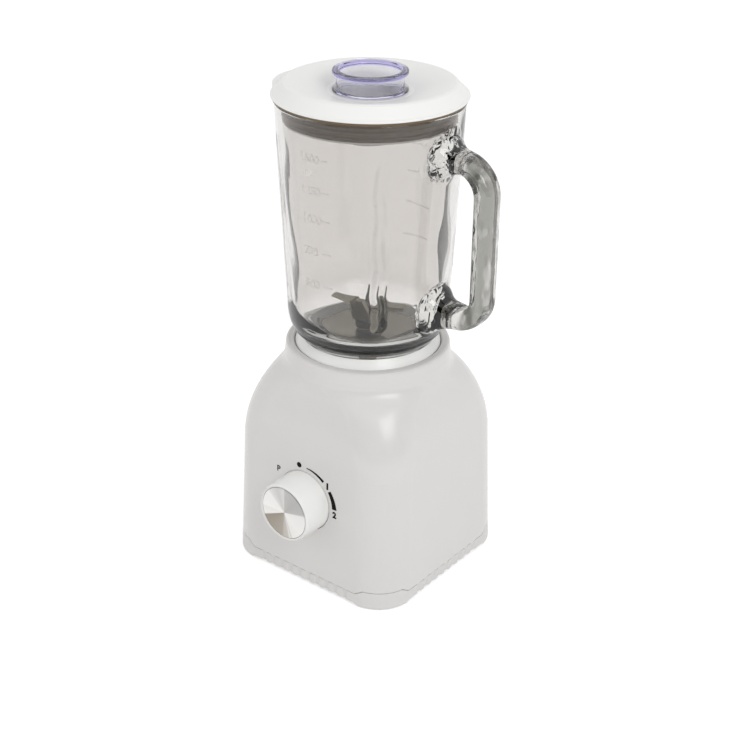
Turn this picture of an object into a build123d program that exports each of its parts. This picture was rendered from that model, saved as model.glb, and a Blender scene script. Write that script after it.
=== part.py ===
from build123d import *
import math
import os

# Countertop blender, in millimetres.
# The origin is the drive axis at worktop level. +Z is up, the dial faces -Y,
# the jar's handle points to +X and its spout to -X.

# ---------------------------------------------------------------- clearances
running_fit = 0.05      # radial, shaft in a bearing or bush
slide_fit = 0.1         # radial, a plunger in its guide
free_gap = 0.3          # between pieces that lift off or turn past each other
seat_gap = 0.2          # under the jar, where it stands in the collar
seam_gap = 0.5          # shadow line between the housing and the tray

# ---------------------------------------------------------------- base sizes
base_width = 161.4          # X, at the worktop
base_depth = 158.0          # Y, at the worktop
base_height = 182.5         # worktop to the collar's top
base_corner = 30.0          # corner radius in plan
wall = 2.6
wall_draft = 3.6            # each wall leans in this far up to the shoulder
shoulder_height = 60.0
collar_foot_radius = 64.2
collar_top_radius = 62.5
collar_bore_radius = 55.8
collar_rise = 14.0          # collar standing clear above the shoulder
collar_depth = 17.5         # depth of the jar seat
collar_rounding = 2.0
seat_floor = 3.5
# Each step up the shoulder: share of the way from the wall in to the collar,
# and corner radius as a share of the half-width.
shoulder_steps = (
    (0.04, 0.429),
    (0.145, 0.466),
    (0.36, 0.498),
    (0.66, 0.54),
    (0.93, 0.706),
    (1.0, 0.985),
)

foot_proud = 0.5            # rubber standing out below the tray
foot_radius = 9.0
foot_pocket = 1.2
foot_stem_radius = 2.9
foot_inset = 26.0           # foot centre in from each wall
tray_height = 14.8          # at the corners
apron_height = 4.3          # housing's lower edge drops this far along the sides
side_lift = 2.0             # tray's lower edge is raised along the sides
side_recess = 6.0
arch_ramp = 7.0
tray_floor = 2.5
tray_lip = 1.4              # tongue inside the housing's lower edge
tray_lip_height = 3.0
tray_edge = 1.2
flute_pitch = 9.0
flute_radius = 4.0
flute_depth = 1.0
vent_count = 18
vent_width = 3.2
vent_inner_radius = 12.0
vent_outer_radius = 34.0

screw_boss_radius = 5.2
screw_boss_height = 42.0
screw_boss_offset = 38.0    # boss centre along Y
screw_shank_radius = 1.45
screw_head_radius = 3.2
screw_head_height = 2.0
screw_length = 28.0
screw_well_radius = 3.8
screw_seat_height = 8.5     # well depth from the tray's underside

# ---------------------------------------------------------------- dial sizes
dial_height = 73.5          # dial axis above the worktop
knob_base_radius = 24.0
knob_front_radius = 23.1
knob_reach = 25.4           # from the flat it turns on to its front
knob_wall = 2.2
knob_insert_radius = 22.3
knob_insert_thickness = 1.2
knob_boss_radius = 6.5
dial_flat_sink = 1.5        # flat recess that the knob turns in
dial_pad = 4.0              # wall thickness behind that flat
switch_shaft_radius = 3.0
switch_bushing_radius = 5.0
switch_bushing_reach = 3.5
switch_nut_across = 13.0
switch_nut_thickness = 2.0
switch_width = 34.0
switch_depth = 26.0
switch_tall = 30.0

# ------------------------------------------------------------- cord inlet
inlet_height = 32.0
inlet_bore_radius = 3.6
inlet_body_radius = 6.0
inlet_flange_radius = 8.5
inlet_flange = 2.0
inlet_reach = 5.5           # behind the rear wall at worktop level

# --------------------------------------------------------------- motor sizes
shaft_radius = 4.0
shaft_foot = 8.0            # height of the shaft's lower end
stack_height = 36.0         # laminations
stack_middle = 84.0         # height of the laminations' middle
stator_width = 88.0
stator_depth = 66.0
stator_corner = 10.0
stator_bore_radius = 21.2
stator_rim = 10.0
pole_width = 24.0
pole_shoe = 4.8
coil_thickness = 6.0
coil_build = 10.5
armature_radius = 20.6
armature_slots = 12
slot_width = 3.0
slot_depth = 9.0
winding_rise = 10.0
commutator_radius = 11.0
commutator_height = 14.0
commutator_middle = 47.0
bearing_radius = 11.0
bearing_height = 7.0
lower_bearing_foot = 26.0
upper_bearing_foot = 120.0
bracket_plate = 4.0
bracket_hub_radius = 14.0
bracket_bar_width = 26.0
upright_thickness = 7.0
stator_bolt_radius = 2.0
stator_bolt_head = 3.6
mount_spread_x = 50.0
mount_spread_y = 30.0
mount_post_radius = 5.0
mount_damper = 4.0
mount_screw_radius = 1.8
mount_screw_bite = 16.0
brush_side = 6.0
brush_reach = 15.0
holder_wall = 1.3
holder_inner = 13.5
holder_outer = 30.0
fan_radius = 31.0
fan_height = 12.0
fan_hub_radius = 9.0
fan_plate = 1.6
fan_blades = 9

# ---------------------------------------------------------- drive couplings
coupling_radius = 15.0
coupling_drop = 8.0         # coupling's foot below the jar seat
coupling_height = 16.0
socket_depth = 9.0
star_core_radius = 6.6
star_lobe_radius = 2.4
star_lobe_centre = 7.2
star_lobes = 6
star_gap = 0.5
star_height = 6.5
tower_bore_radius = 17.5
tower_wall = 2.5
tower_rise = 3.0
lug_width = 10.0
lug_height = 8.0
lug_reach = 4.6

# ---------------------------------------------------------------- interlock
interlock_offset = 40.0     # along +Y from the drive axis
plunger_radius = 3.0
plunger_flange_radius = 5.5
plunger_flange = 1.5
plunger_travel = 3.0
plunger_guide = 10.5
guide_wall = 3.5
spring_length = 9.5
spring_wire = 0.55
spring_turns = 4
microswitch_width = 20.0
microswitch_depth = 8.0
microswitch_height = 14.0
cheek_thickness = 2.5

# ----------------------------------------------------------------- jar sizes
ring_radius = 55.2
ring_skirt = 2.5
ring_top_drop = 5.7         # fall of the ring's cone from glass to rim
ring_flange = 3.8
ring_flange_bore = 36.0
ring_collar_wall = 3.0
ring_ribs = 12
ring_rib = 2.0
neck_radius = 46.0
neck_bore_radius = 38.5
neck_height = 10.0
neck_flare = 3.7            # from the neck's top out to the glass's foot
carrier_flange = 3.5
gasket_thickness = 2.0
glass_foot_radius = 50.2    # where the glass leaves the ring
glass_belly_radius = 61.0
glass_rim_radius = 68.0
glass_belly_rise = 26.0     # from the ring's top to the belly
glass_height = 181.5        # from the ring's top to the rim
glass_wall = 5.1
glass_floor_rise = 5.0      # inside floor above the ring's top
flute_rib_radius = 9.0
flute_rib_proud = 4.4
flute_rib_low = 24.0        # rib ends above the ring's top
flute_rib_high = 146.0
spout_reach = 77.0
spout_half_width = 19.0
spout_rise = 38.0

handle_reach = 109.3
handle_width = 19.0
handle_bar = 14.6
handle_top = 347.5
handle_top_arm = 16.0
handle_bottom = 212.0
handle_bottom_arm = 23.0
handle_top_corner = 27.0
handle_bottom_corner = 25.0
handle_inner_corner = 9.0
handle_rounding = 5.0
handle_pad_width = 38.0
handle_pad_rise = 16.0      # pad taller than its arm, at the wall
handle_pad_start = 78.0

# -------------------------------------------------------------- blade sizes
carrier_wall = 3.2
carrier_dish = 3.0
carrier_boss_radius = 12.0
carrier_boss_depth = 14.0
bush_radius = 6.0
bush_height = 17.0
blade_shaft_radius = 3.5
blade_stand = 11.3          # lower blade's underside above the ring's top
blade_thickness = 2.0
blade_hub_radius = 7.0
blade_width = 14.0
blade_bend_radius = 8.5     # where an arm turns up from the hub
blade_edge = 2.4            # width ground back to the cutting edge
lower_blade_angle = 190.0
lower_riser_out = 12.5      # the lower blade's arms rise, then run level
lower_blade_reach = 31.0
lower_blade_rise = 11.5
lower_tip_lift = 1.0
lower_tip_width = 7.5
upper_blade_angle = 100.0
upper_blade_reach = 14.5    # the upper blade's arms rise steeply to a point
upper_blade_rise = 17.0
upper_tip_width = 2.4
spacer_radius = 8.8
nut_across = 11.0
nut_height = 5.5
washer_radius = 6.2
washer_thickness = 0.8

# ---------------------------------------------------------------- lid sizes
lid_radius = 70.5
lid_rim = 2.0
lid_crown = 3.2             # flat round the cap, above the rim's lower edge
lid_flat_radius = 31.0
lid_ridge = 10.1            # raised ring, above the rim's lower edge
lid_ridge_radius = 60.0
lid_wall = 2.2
lid_skirt_radius = 58.8
lid_skirt_depth = 16.9
lid_skirt_wall = 2.4
lid_skirt_toe = 1.5
lid_tab_reach = 80.0
lid_tab_radius = 36.0
lid_tab_edge = 0.9
gasket_body = 2.4
gasket_lip = 1.1
gasket_lips = 3
gasket_flange = 1.9         # between the lid's rim and the glass
gasket_flange_inset = 1.2   # in from the lid's edge
lid_hole_radius = 24.6
lid_neck_wall = 2.2
lid_neck_depth = 9.0
cap_ring_radius = 26.9
cap_ring_bore = 22.0
cap_ring_height = 2.6
cap_flange_radius = 27.1
cap_flange = 1.2
cap_body_radius = 24.1
cap_foot_radius = 22.9
cap_wall = 2.0
cap_height = 49.0
cap_stand = 12.1            # neck between the lid and the top ring

# ------------------------------------------------------------ derived levels
seam_z = foot_proud + tray_height
apron_z = seam_z - apron_height
seat_z = base_height - collar_depth
ceiling_z = seat_z - seat_floor
shoulder_top_z = base_height - collar_rise
shoulder_z = shoulder_top_z - shoulder_height
jar_z = seat_z + seat_gap
carrier_z = jar_z + ring_flange
neck_z = carrier_z + carrier_flange + gasket_thickness
ring_top_z = neck_z + neck_height + neck_flare
rim_z = ring_top_z + glass_height
lid_z = rim_z + free_gap + gasket_flange
coupling_foot = seat_z - coupling_drop
blade_level = ring_top_z + blade_stand
stack_low_z = stack_middle - stack_height / 2
stack_high_z = stack_middle + stack_height / 2


def wall_lean(z):
    return wall_draft * z / shoulder_z


def wall_section(z, inset=0.0):
    lean = wall_lean(z) + inset
    return Plane.XY.offset(z) * RectangleRounded(
        base_width - 2 * lean, base_depth - 2 * lean, base_corner - inset)


def shoulder_section(number, inset=0.0):
    pull, roundness = shoulder_steps[number]
    z = shoulder_z + shoulder_height * (number + 1) / len(shoulder_steps)
    collar = collar_foot_radius - free_gap
    half_x = base_width / 2 - wall_draft
    half_y = base_depth / 2 - wall_draft
    half_x += pull * (collar - half_x)
    half_y += pull * (collar - half_y)
    corner = roundness * min(half_x, half_y)
    return Plane.XY.offset(z) * RectangleRounded(
        2 * (half_x - inset), 2 * (half_y - inset), corner - inset)


def housing_form(inset=0.0):
    """The housing's outer form, or the form of its hollow with an inset."""
    low = seam_z if inset == 0 else seam_z - 1
    walls = loft([wall_section(low, inset), wall_section(shoulder_z, inset)])
    sections = [wall_section(shoulder_z, inset)]
    sections += [shoulder_section(n, inset * 1.15) for n in range(len(shoulder_steps))]
    return walls + loft(sections)


def revolved(points):
    """A solid of revolution about Z from (radius, height) points."""
    return revolve(Plane.XZ * make_face(Polyline(*points, close=True)), Axis.Z)


def post(x, y, low, high, radius):
    return Pos(x, y, low) * Cylinder(radius, high - low, align=(Align.CENTER, Align.CENTER, Align.MIN))


def corners(x, y):
    return [(sx * x, sy * y) for sx in (-1, 1) for sy in (-1, 1)]



def disc(radius, low, high):
    return post(0, 0, low, high, radius)


def ring(inner, outer, low, high):
    return disc(outer, low, high) - disc(inner, low, high)


def block(x, y, low, width, depth, height):
    return Pos(x, y, low) * Box(width, depth, height, align=(Align.CENTER, Align.CENTER, Align.MIN))


def turned_on_y(points):
    """A solid of revolution about the dial axis from (radius, y) points."""
    profile = make_face(Polyline(*[(r, y, dial_height) for r, y in points], close=True))
    return revolve(profile, Axis((0, 0, dial_height), (0, 1, 0)))


def star(core, lobe, centre, low, high):
    shape = disc(core, low, high)
    for location in PolarLocations(centre, star_lobes):
        shape += location * post(0, 0, low, high, lobe)
    return shape


# ------------------------------------------------------------------- housing
front_wall_y = -(base_depth / 2 - wall_lean(dial_height))
dial_flat_y = front_wall_y + dial_flat_sink
knob_front_y = dial_flat_y - knob_reach
rear_wall_y = base_depth / 2 - wall_lean(inlet_height)
inlet_end_y = base_depth / 2 + inlet_reach
boss_x = base_width / 2 - wall_lean(seam_z) - wall - screw_boss_radius


def y_post(radius, x, z, y_low, y_high):
    shape = Cylinder(radius, y_high - y_low, align=(Align.CENTER, Align.CENTER, Align.MIN))
    return Pos(x, y_low, z) * Rot(-90, 0, 0) * shape


def crown():
    """The collar round the jar seat, with the seat's floor."""
    top = base_height
    profile = [
        (0, ceiling_z), (collar_foot_radius, ceiling_z),
        (collar_foot_radius, shoulder_top_z),
        (collar_top_radius + 0.9, shoulder_top_z + 0.3 * collar_rise),
        (collar_top_radius, top - collar_rounding),
        (collar_top_radius - 0.3 * collar_rounding, top - 0.3 * collar_rounding),
        (collar_top_radius - collar_rounding, top),
        (collar_bore_radius + 1, top), (collar_bore_radius, top - 1),
        (collar_bore_radius, seat_z), (0, seat_z),
    ]
    return revolved(profile)


def motor_housing():
    hollow = housing_form(wall) - block(0, 0, ceiling_z, base_width, base_depth, base_height)
    housing = housing_form() - hollow - disc(collar_bore_radius, seat_z, base_height + 1)
    housing += crown()
    housing += [side_band(apron_z, seam_z, 0, wall, long) for long in (True, False)]

    inside = []
    for x, y in corners(mount_spread_x, mount_spread_y):
        inside.append(post(x, y, mount_plane_z, ceiling_z + 1, mount_post_radius))
    boss_low = seam_z + tray_lip_height + free_gap
    web_reach = screw_boss_radius + 0.25 * wall
    for x, y in corners(boss_x, screw_boss_offset):
        inside.append(post(x, y, boss_low, boss_low + screw_boss_height, screw_boss_radius))
        inside.append(block(x + math.copysign(web_reach / 2, x), y, boss_low, web_reach, 2 * wall, screw_boss_height))
    inside.append(y_post(knob_base_radius + wall, 0, dial_height, dial_flat_y, dial_flat_y + dial_pad))
    inside.append(y_post(inlet_flange_radius + wall, 0, inlet_height, rear_wall_y - dial_pad, rear_flat_y))
    guide_radius = plunger_radius + slide_fit + guide_wall
    inside.append(post(0, interlock_offset, ceiling_z - plunger_guide, ceiling_z + 1, guide_radius))
    for side in (-1, 1):
        x = side * (microswitch_width / 2 + cheek_thickness / 2)
        inside.append(block(x, interlock_offset, microswitch_z, cheek_thickness,
                            microswitch_depth, ceiling_z - microswitch_z + 1))
    inside.append(disc(tower_bore_radius + tower_wall, ceiling_z, seat_z + tower_rise))
    lug_low = seat_z - 0.5
    for angle in lug_angles:
        lug = block(collar_bore_radius - lug_reach / 2 + 0.5, 0, lug_low, lug_reach + 1, lug_width, lug_height + 0.5)
        inside.append(Rot(0, 0, angle) * lug)
    housing += inside

    cuts = [disc(tower_bore_radius, ceiling_z - 1, base_height)]
    for x, y in corners(boss_x, screw_boss_offset):
        cuts.append(post(x, y, seam_z, seam_z + screw_length + screw_seat_height, screw_shank_radius))
    for x, y in corners(mount_spread_x, mount_spread_y):
        cuts.append(post(x, y, mount_plane_z - 1, mount_plane_z + mount_screw_bite + 1, mount_screw_radius))
    cuts.append(post(0, interlock_offset, microswitch_z, seat_z + 1, plunger_radius + slide_fit))
    cuts.append(y_post(knob_base_radius + 2 * free_gap, 0, dial_height, -base_depth, dial_flat_y))
    cuts.append(y_post(switch_bushing_radius + slide_fit, 0, dial_height, -base_depth, switch_front_y + 1))
    cuts.append(y_post(inlet_body_radius + running_fit, 0, inlet_height, rear_flat_y - 2 * dial_pad, base_depth))
    cuts.append(y_post(inlet_flange_radius + running_fit, 0, inlet_height, rear_flat_y, base_depth))
    return housing - cuts


# Places inside the base that several pieces share.
lug_angles = (45, 135, 225, 315)
rear_flat_y = rear_wall_y - dial_flat_sink
bracket_top_z = stack_high_z + 20
mount_plane_z = bracket_top_z + mount_damper
microswitch_top_z = ceiling_z - plunger_guide - plunger_travel - plunger_flange - spring_length
microswitch_z = microswitch_top_z - microswitch_height


def side_band(low, high, outer, inner, long, grow=0.0):
    """Band of the wall between two insets, along two sides only, with ramped ends."""
    band = loft([wall_section(low, outer), wall_section(high, outer)])
    band -= loft([wall_section(low - 1, inner), wall_section(high + 1, inner)])
    length, depth = (base_width, base_depth) if long else (base_depth, base_width)
    half = length / 2 - base_corner + grow
    if outer < 0 and low < 0:
        outline = Polyline((-half - arch_ramp, low), (-half, high), (half, high), (half + arch_ramp, low), close=True)
    else:
        ramp = arch_ramp * (high - low) / apron_height
        outline = Polyline((-half - ramp, high), (-half, low), (half, low), (half + ramp, high), close=True)
    prism = extrude(Plane.XZ * make_face(outline), depth, both=True)
    return band & (prism if long else Rot(0, 0, 90) * prism)


def bottom_tray():
    body = loft([wall_section(foot_proud), wall_section(seam_z - seam_gap)])
    body = fillet(body.edges().group_by(Axis.Z)[0], tray_edge)
    inner_lean = wall + slide_fit + tray_lip
    floor_z = foot_proud + tray_floor
    lip_low = seam_z - 1
    lip_high = seam_z + tray_lip_height
    body += loft([wall_section(lip_low, wall + slide_fit), wall_section(lip_high, wall + slide_fit)])
    body -= loft([wall_section(floor_z, inner_lean), wall_section(lip_high + 1, inner_lean)])
    boss = [post(x, y, floor_z - 1, lip_high, screw_boss_radius - slide_fit) for x, y in corners(boss_x, screw_boss_offset)]
    body += boss
    cuts = side_flutes()
    for long in (True, False):
        cuts.append(side_band(apron_z - seam_gap, seam_z + 1, -1, wall + slide_fit, long, slide_fit))
        cuts.append(side_band(-1, foot_proud + side_lift, -1, side_recess, long))
    for x, y in corners(boss_x, screw_boss_offset):
        cuts.append(post(x, y, 0, lip_high + 1, screw_shank_radius + 2 * slide_fit))
        cuts.append(post(x, y, 0, foot_proud + screw_seat_height, screw_well_radius))
    for x, y in feet_places():
        cuts.append(post(x, y, 0, foot_proud + foot_pocket, foot_radius + free_gap))
        cuts.append(post(x, y, 0, floor_z + 1, foot_stem_radius + running_fit))
    vent = block((vent_inner_radius + vent_outer_radius) / 2, 0, 0,
                 vent_outer_radius - vent_inner_radius, vent_width, floor_z + 1)
    cuts += [location * vent for location in PolarLocations(0, vent_count)]
    return body - cuts


def side_flutes():
    """Upright scallops round the tray's four sides."""
    flutes = []
    for across, along, turn in ((base_depth, base_width, 0), (base_width, base_depth, 90)):
        run = along - 2 * (base_corner + flute_pitch)
        count = int(run // flute_pitch) + 1
        for side in (-1, 1):
            for i in range(count):
                place = (i - (count - 1) / 2) * flute_pitch
                y = side * (across / 2 - wall_lean(apron_z) + flute_radius - flute_depth)
                flutes.append(Rot(0, 0, turn) * post(place, y, -1, apron_z, flute_radius))
    return flutes


def feet_places():
    return corners(base_width / 2 - foot_inset, base_depth / 2 - foot_inset)


def rubber_foot(x, y):
    top = foot_proud + foot_pocket
    foot = post(x, y, 0, top, foot_radius)
    foot = chamfer(foot.edges().group_by(Axis.Z)[0], 0.6)
    foot += post(x, y, top, foot_proud + tray_floor, foot_stem_radius)
    foot += post(x, y, foot_proud + tray_floor, foot_proud + tray_floor + 2, foot_stem_radius + 0.8)
    return foot


def tray_screws():
    seat = foot_proud + screw_seat_height
    screws = []
    for x, y in corners(boss_x, screw_boss_offset):
        head = post(x, y, seat - screw_head_height, seat, screw_head_radius)
        shank = post(x, y, seat, seat + screw_length, screw_shank_radius - running_fit)
        drive = block(x, y, seat - screw_head_height, 4, 0.9, 1) + block(x, y, seat - screw_head_height, 0.9, 4, 1)
        screws.append(head + shank - drive)
    return screws


# ---------------------------------------------------------------------- dial
def knob():
    base_y = dial_flat_y - free_gap
    floor_y = knob_front_y + knob_insert_thickness
    body = turned_on_y([
        (0, base_y), (knob_base_radius, base_y),
        (knob_base_radius - 0.2, base_y - 0.4 * knob_reach),
        (knob_front_radius, knob_front_y + 1.2),
        (knob_front_radius - 0.4, knob_front_y), (0, knob_front_y),
    ])
    body -= y_post(knob_insert_radius + running_fit, 0, dial_height, knob_front_y - 1, floor_y)
    inner = floor_y + knob_wall
    hollow = y_post(knob_front_radius - knob_wall, 0, dial_height, inner, base_y + 1)
    hollow -= y_post(knob_boss_radius, 0, dial_height, inner - 1, knob_boss_y)
    body -= hollow
    body -= y_post(switch_shaft_radius, 0, dial_height, inner - 0.5, base_y + 1)
    return body


knob_boss_y = dial_flat_y - switch_bushing_reach - free_gap
shaft_tip_y = knob_front_y + knob_insert_thickness + knob_wall - 0.5


def knob_insert():
    """Spun metal disc, very slightly coned towards its middle."""
    back = knob_front_y + knob_insert_thickness
    rim = knob_front_y + 0.5
    return turned_on_y([(0, back), (knob_insert_radius, back), (knob_insert_radius, rim), (0, rim - 0.4)])


def switch_shaft():
    return y_post(switch_shaft_radius, 0, dial_height, shaft_tip_y, switch_front_y + switch_depth / 2)


switch_front_y = dial_flat_y + dial_pad


def switch_body():
    case = Box(switch_width, switch_depth, switch_tall)
    case = Pos(0, switch_front_y + switch_depth / 2, dial_height) * chamfer(case.edges().filter_by(Axis.Y), 2)
    bushing = y_post(switch_bushing_radius, 0, dial_height, dial_flat_y - switch_bushing_reach, switch_front_y + 1)
    bore = y_post(switch_shaft_radius + running_fit, 0, dial_height, knob_front_y, switch_front_y + switch_depth / 2)
    body = case + bushing - bore
    for side in (-1, 1):
        tag = Pos(side * switch_width / 4, switch_front_y + switch_depth, dial_height) * Box(6, 12, 0.8)
        body += tag
    return body


def switch_nut():
    nut = extrude(RegularPolygon(switch_nut_across / 2, 6, major_radius=False), switch_nut_thickness)
    nut -= Cylinder(switch_bushing_radius + running_fit, 20)
    return Pos(0, dial_flat_y, dial_height) * Rot(90, 0, 0) * nut


def inlet_gland():
    """Moulded cord inlet: flange on the rear flat, snap ring inside, short nose."""
    inner_y = rear_wall_y - dial_pad
    front = rear_flat_y + inlet_flange
    profile = [
        (inlet_bore_radius, inner_y - inlet_flange), (inlet_body_radius + 1.2, inner_y - inlet_flange),
        (inlet_body_radius + 1.2, inner_y), (inlet_body_radius, inner_y), (inlet_body_radius, rear_flat_y),
        (inlet_flange_radius, rear_flat_y), (inlet_flange_radius, front - 0.6),
        (inlet_flange_radius - 0.6, front), (inlet_body_radius, front),
        (inlet_body_radius - 0.8, inlet_end_y), (inlet_bore_radius, inlet_end_y),
    ]
    return Pos(0, 0, inlet_height - dial_height) * turned_on_y(profile)


# --------------------------------------------------------------------- motor
def stator_core():
    middle = Plane.XY.offset(stack_low_z)
    outer = RectangleRounded(stator_width, stator_depth, stator_corner)
    window = RectangleRounded(stator_width - 2 * stator_rim, stator_depth - 2 * stator_rim + 4, 2)
    pole = Rectangle(stator_width - stator_rim, pole_width)
    pole_reach = stator_bore_radius + pole_shoe
    shoe = Circle(pole_reach) - Rectangle(pole_width, 4 * pole_reach)
    plan = outer - window + pole + (shoe & Rectangle(4 * pole_reach, 2 * pole_reach - 6)) - Circle(stator_bore_radius)
    core = extrude(middle * plan, stack_height)
    for side in (-1, 1):
        core -= post(side * stator_bolt_x, 0, stack_low_z - 1, stack_high_z + 1, stator_bolt_radius + slide_fit)
    return core


stator_bolt_x = stator_width / 2 - stator_rim / 2 - 1


def field_coils():
    gap = free_gap
    inner = RectangleRounded(pole_width + 2 * gap, stack_height + 2 * gap, gap)
    outer = RectangleRounded(pole_width + 2 * coil_build, stack_height + 2 * coil_build, 7)
    coil = extrude(Plane.YZ * (outer - inner), coil_thickness)
    coil = fillet(coil.edges().filter_by(lambda e: e.bounding_box().size.X < 0.01).group_by(Axis.X)[-1], 1.5)
    x = stator_width / 2 - stator_rim - gap - coil_thickness
    right = Pos(x, 0, stack_middle) * coil
    return [right, right.rotate(Axis.Z, 180)]


def armature_core():
    core = disc(armature_radius, stack_low_z, stack_high_z) - disc(shaft_radius, stack_low_z, stack_high_z)
    slot = block(armature_radius - slot_depth / 2 + 0.5, 0, stack_low_z, slot_depth + 1, slot_width, stack_height)
    for location in PolarLocations(0, armature_slots):
        core -= location * slot
    return core


def armature_winding():
    inner = armature_radius - slot_depth
    outer = armature_radius - 1.5
    body = None
    for low, high in ((stack_low_z - winding_rise, stack_low_z), (stack_high_z, stack_high_z + winding_rise)):
        turn = ring(shaft_radius + 1.5, outer, low, high)
        turn = chamfer(turn.edges().filter_by(GeomType.CIRCLE).group_by(SortBy.RADIUS)[-1], 2.5)
        body = turn if body is None else body + turn
    bar = block((inner + outer) / 2, 0, stack_low_z, outer - inner - 0.4, slot_width - 2 * running_fit, stack_height)
    for location in PolarLocations(0, armature_slots):
        body += location * bar
    return body


def commutator():
    low = commutator_middle - commutator_height / 2
    body = ring(shaft_radius, commutator_radius, low, low + commutator_height)
    cut = block(commutator_radius, 0, low, 1.6, 0.6, commutator_height)
    for location in PolarLocations(0, armature_slots):
        body -= location * cut
    riser = ring(shaft_radius, commutator_radius + 1.2, low + commutator_height - 2, low + commutator_height)
    return body + riser


def motor_shaft():
    top = coupling_foot + coupling_height - socket_depth
    shaft = disc(shaft_radius, shaft_foot, top)
    return chamfer(shaft.edges().group_by(Axis.Z)[0], 0.8)


def bearing(foot):
    """Ball bearing as its two races and shield."""
    body = ring(shaft_radius + running_fit, bearing_radius, foot, foot + bearing_height)
    for low in (foot - 0.01, foot + bearing_height - 0.7):
        body -= ring(shaft_radius + 2.2, bearing_radius - 1.8, low, low + 0.71)
    return body


def bracket(hub_low, hub_high, plate_low, uprights, ears):
    """Motor bracket: hub for a bearing, a plate, and uprights to the stack."""
    bar = 2 * (mount_spread_x if ears else stator_bolt_x + upright_thickness / 2)
    body = disc(bracket_hub_radius, hub_low, hub_high)
    body += block(0, 0, plate_low, bar, bracket_bar_width, bracket_plate)
    for side in (-1, 1):
        low, high = uprights
        body += block(side * stator_bolt_x, 0, low, upright_thickness, bracket_bar_width, high - low)
        if ears:
            body += block(side * mount_spread_x, 0, plate_low, 2 * mount_post_radius + 2,
                          2 * (mount_spread_y + mount_post_radius + 1), bracket_plate)
    for side in (-1, 1):
        body -= post(side * stator_bolt_x, 0, lower_plate_z - 1, bracket_top_z + 1, stator_bolt_radius + slide_fit)
    return body


lower_plate_z = lower_bearing_foot - 2
upper_plate_z = bracket_top_z - bracket_plate


def upper_motor_bracket():
    body = bracket(upper_plate_z - 4, upper_bearing_foot + bearing_height, upper_plate_z,
                   (stack_high_z, upper_plate_z), True)
    body -= disc(bearing_radius, upper_bearing_foot, base_height)
    body -= disc(bearing_radius - 2, stack_high_z, base_height)
    for x, y in corners(mount_spread_x, mount_spread_y):
        body -= post(x, y, upper_plate_z - 1, bracket_top_z + 1, mount_screw_radius + slide_fit)
    return body


def lower_motor_bracket():
    body = bracket(lower_plate_z, lower_bearing_foot + bearing_height, lower_plate_z,
                   (lower_plate_z, stack_low_z), False)
    body += block(0, 0, lower_plate_z, bracket_bar_width, 2 * (holder_outer + 2), bracket_plate)
    body -= disc(bearing_radius, lower_bearing_foot, stack_low_z)
    body -= disc(bearing_radius - 2, 0, stack_low_z)
    return body


def brush_parts(side):
    half = brush_side / 2
    y_low = commutator_radius + running_fit
    brush = block(0, y_low + brush_reach / 2, commutator_middle - half, brush_side, brush_reach, brush_side)
    face = disc(y_low, commutator_middle - brush_side, commutator_middle + brush_side)
    brush = Rot(0, 0, 90 - 90 * side) * (brush - face)
    outer = brush_side + 2 * holder_wall
    length = holder_outer - holder_inner
    y_mid = (holder_outer + holder_inner) / 2
    sleeve = block(0, y_mid, commutator_middle - outer / 2, outer, length, outer)
    sleeve -= block(0, y_mid, commutator_middle - half - running_fit, brush_side + 2 * running_fit,
                    length + 2, brush_side + 2 * running_fit)
    plate_top = lower_plate_z + bracket_plate
    leg = block(0, holder_outer - 4, plate_top, outer, 8, commutator_middle - outer / 2 - plate_top)
    cap = block(0, holder_outer - 1, commutator_middle - outer / 2, outer, 2, outer)
    holder = Rot(0, 0, 90 - 90 * side) * (sleeve + leg + cap)
    return brush, holder


def cooling_fan():
    fan = ring(shaft_radius, fan_hub_radius, shaft_foot, shaft_foot + fan_height)
    fan += ring(shaft_radius, fan_radius, shaft_foot + fan_height - fan_plate, shaft_foot + fan_height)
    span = fan_radius - fan_hub_radius
    blade = Rot(0, 0, 25) * block(span / 2, 0, 0, span, 1.4, fan_height - 1)
    for location in PolarLocations(fan_hub_radius - 1, fan_blades):
        fan += location * Pos(0, 0, shaft_foot) * blade
    return fan & disc(fan_radius, shaft_foot, shaft_foot + fan_height)


def stator_bolts():
    top = bracket_top_z
    bolts = []
    for side in (-1, 1):
        x = side * stator_bolt_x
        bolt = post(x, 0, lower_plate_z, top + 4, stator_bolt_radius)
        bolt += post(x, 0, lower_plate_z - 2.6, lower_plate_z, stator_bolt_head)
        nut = Pos(x, 0, top) * extrude(RegularPolygon(stator_bolt_head, 6), 3)
        bolts.append(bolt + nut)
    return bolts


def mount_screws():
    screws = []
    for x, y in corners(mount_spread_x, mount_spread_y):
        shank = post(x, y, upper_plate_z, mount_plane_z + mount_screw_bite, mount_screw_radius - running_fit)
        screws.append(shank + post(x, y, upper_plate_z - 2.4, upper_plate_z, 2 * mount_screw_radius))
    return screws


def motor_dampers():
    dampers = []
    for x, y in corners(mount_spread_x, mount_spread_y):
        damper = post(x, y, bracket_top_z, mount_plane_z, mount_post_radius)
        dampers.append(damper - post(x, y, bracket_top_z - 1, mount_plane_z + 1, mount_screw_radius + slide_fit))
    return dampers


def drive_coupling():
    top = coupling_foot + coupling_height
    body = disc(coupling_radius, coupling_foot + 3, top) + disc(coupling_radius - 4, coupling_foot, coupling_foot + 3)
    body = chamfer(body.edges().group_by(Axis.Z)[-1], 1)
    body -= star(star_core_radius + star_gap, star_lobe_radius + star_gap, star_lobe_centre, top - socket_depth, top + 1)
    body -= disc(shaft_radius, coupling_foot - 1, top - socket_depth)
    return body


# ----------------------------------------------------------------- interlock
def interlock_pin():
    low = microswitch_top_z + 1.2
    flange_low = microswitch_top_z + spring_length
    body = post(0, interlock_offset, low, seat_z, plunger_radius)
    body = chamfer(body.edges().group_by(Axis.Z)[-1], 0.6)
    body += post(0, interlock_offset, flange_low, flange_low + plunger_flange, plunger_flange_radius)
    return body


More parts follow.
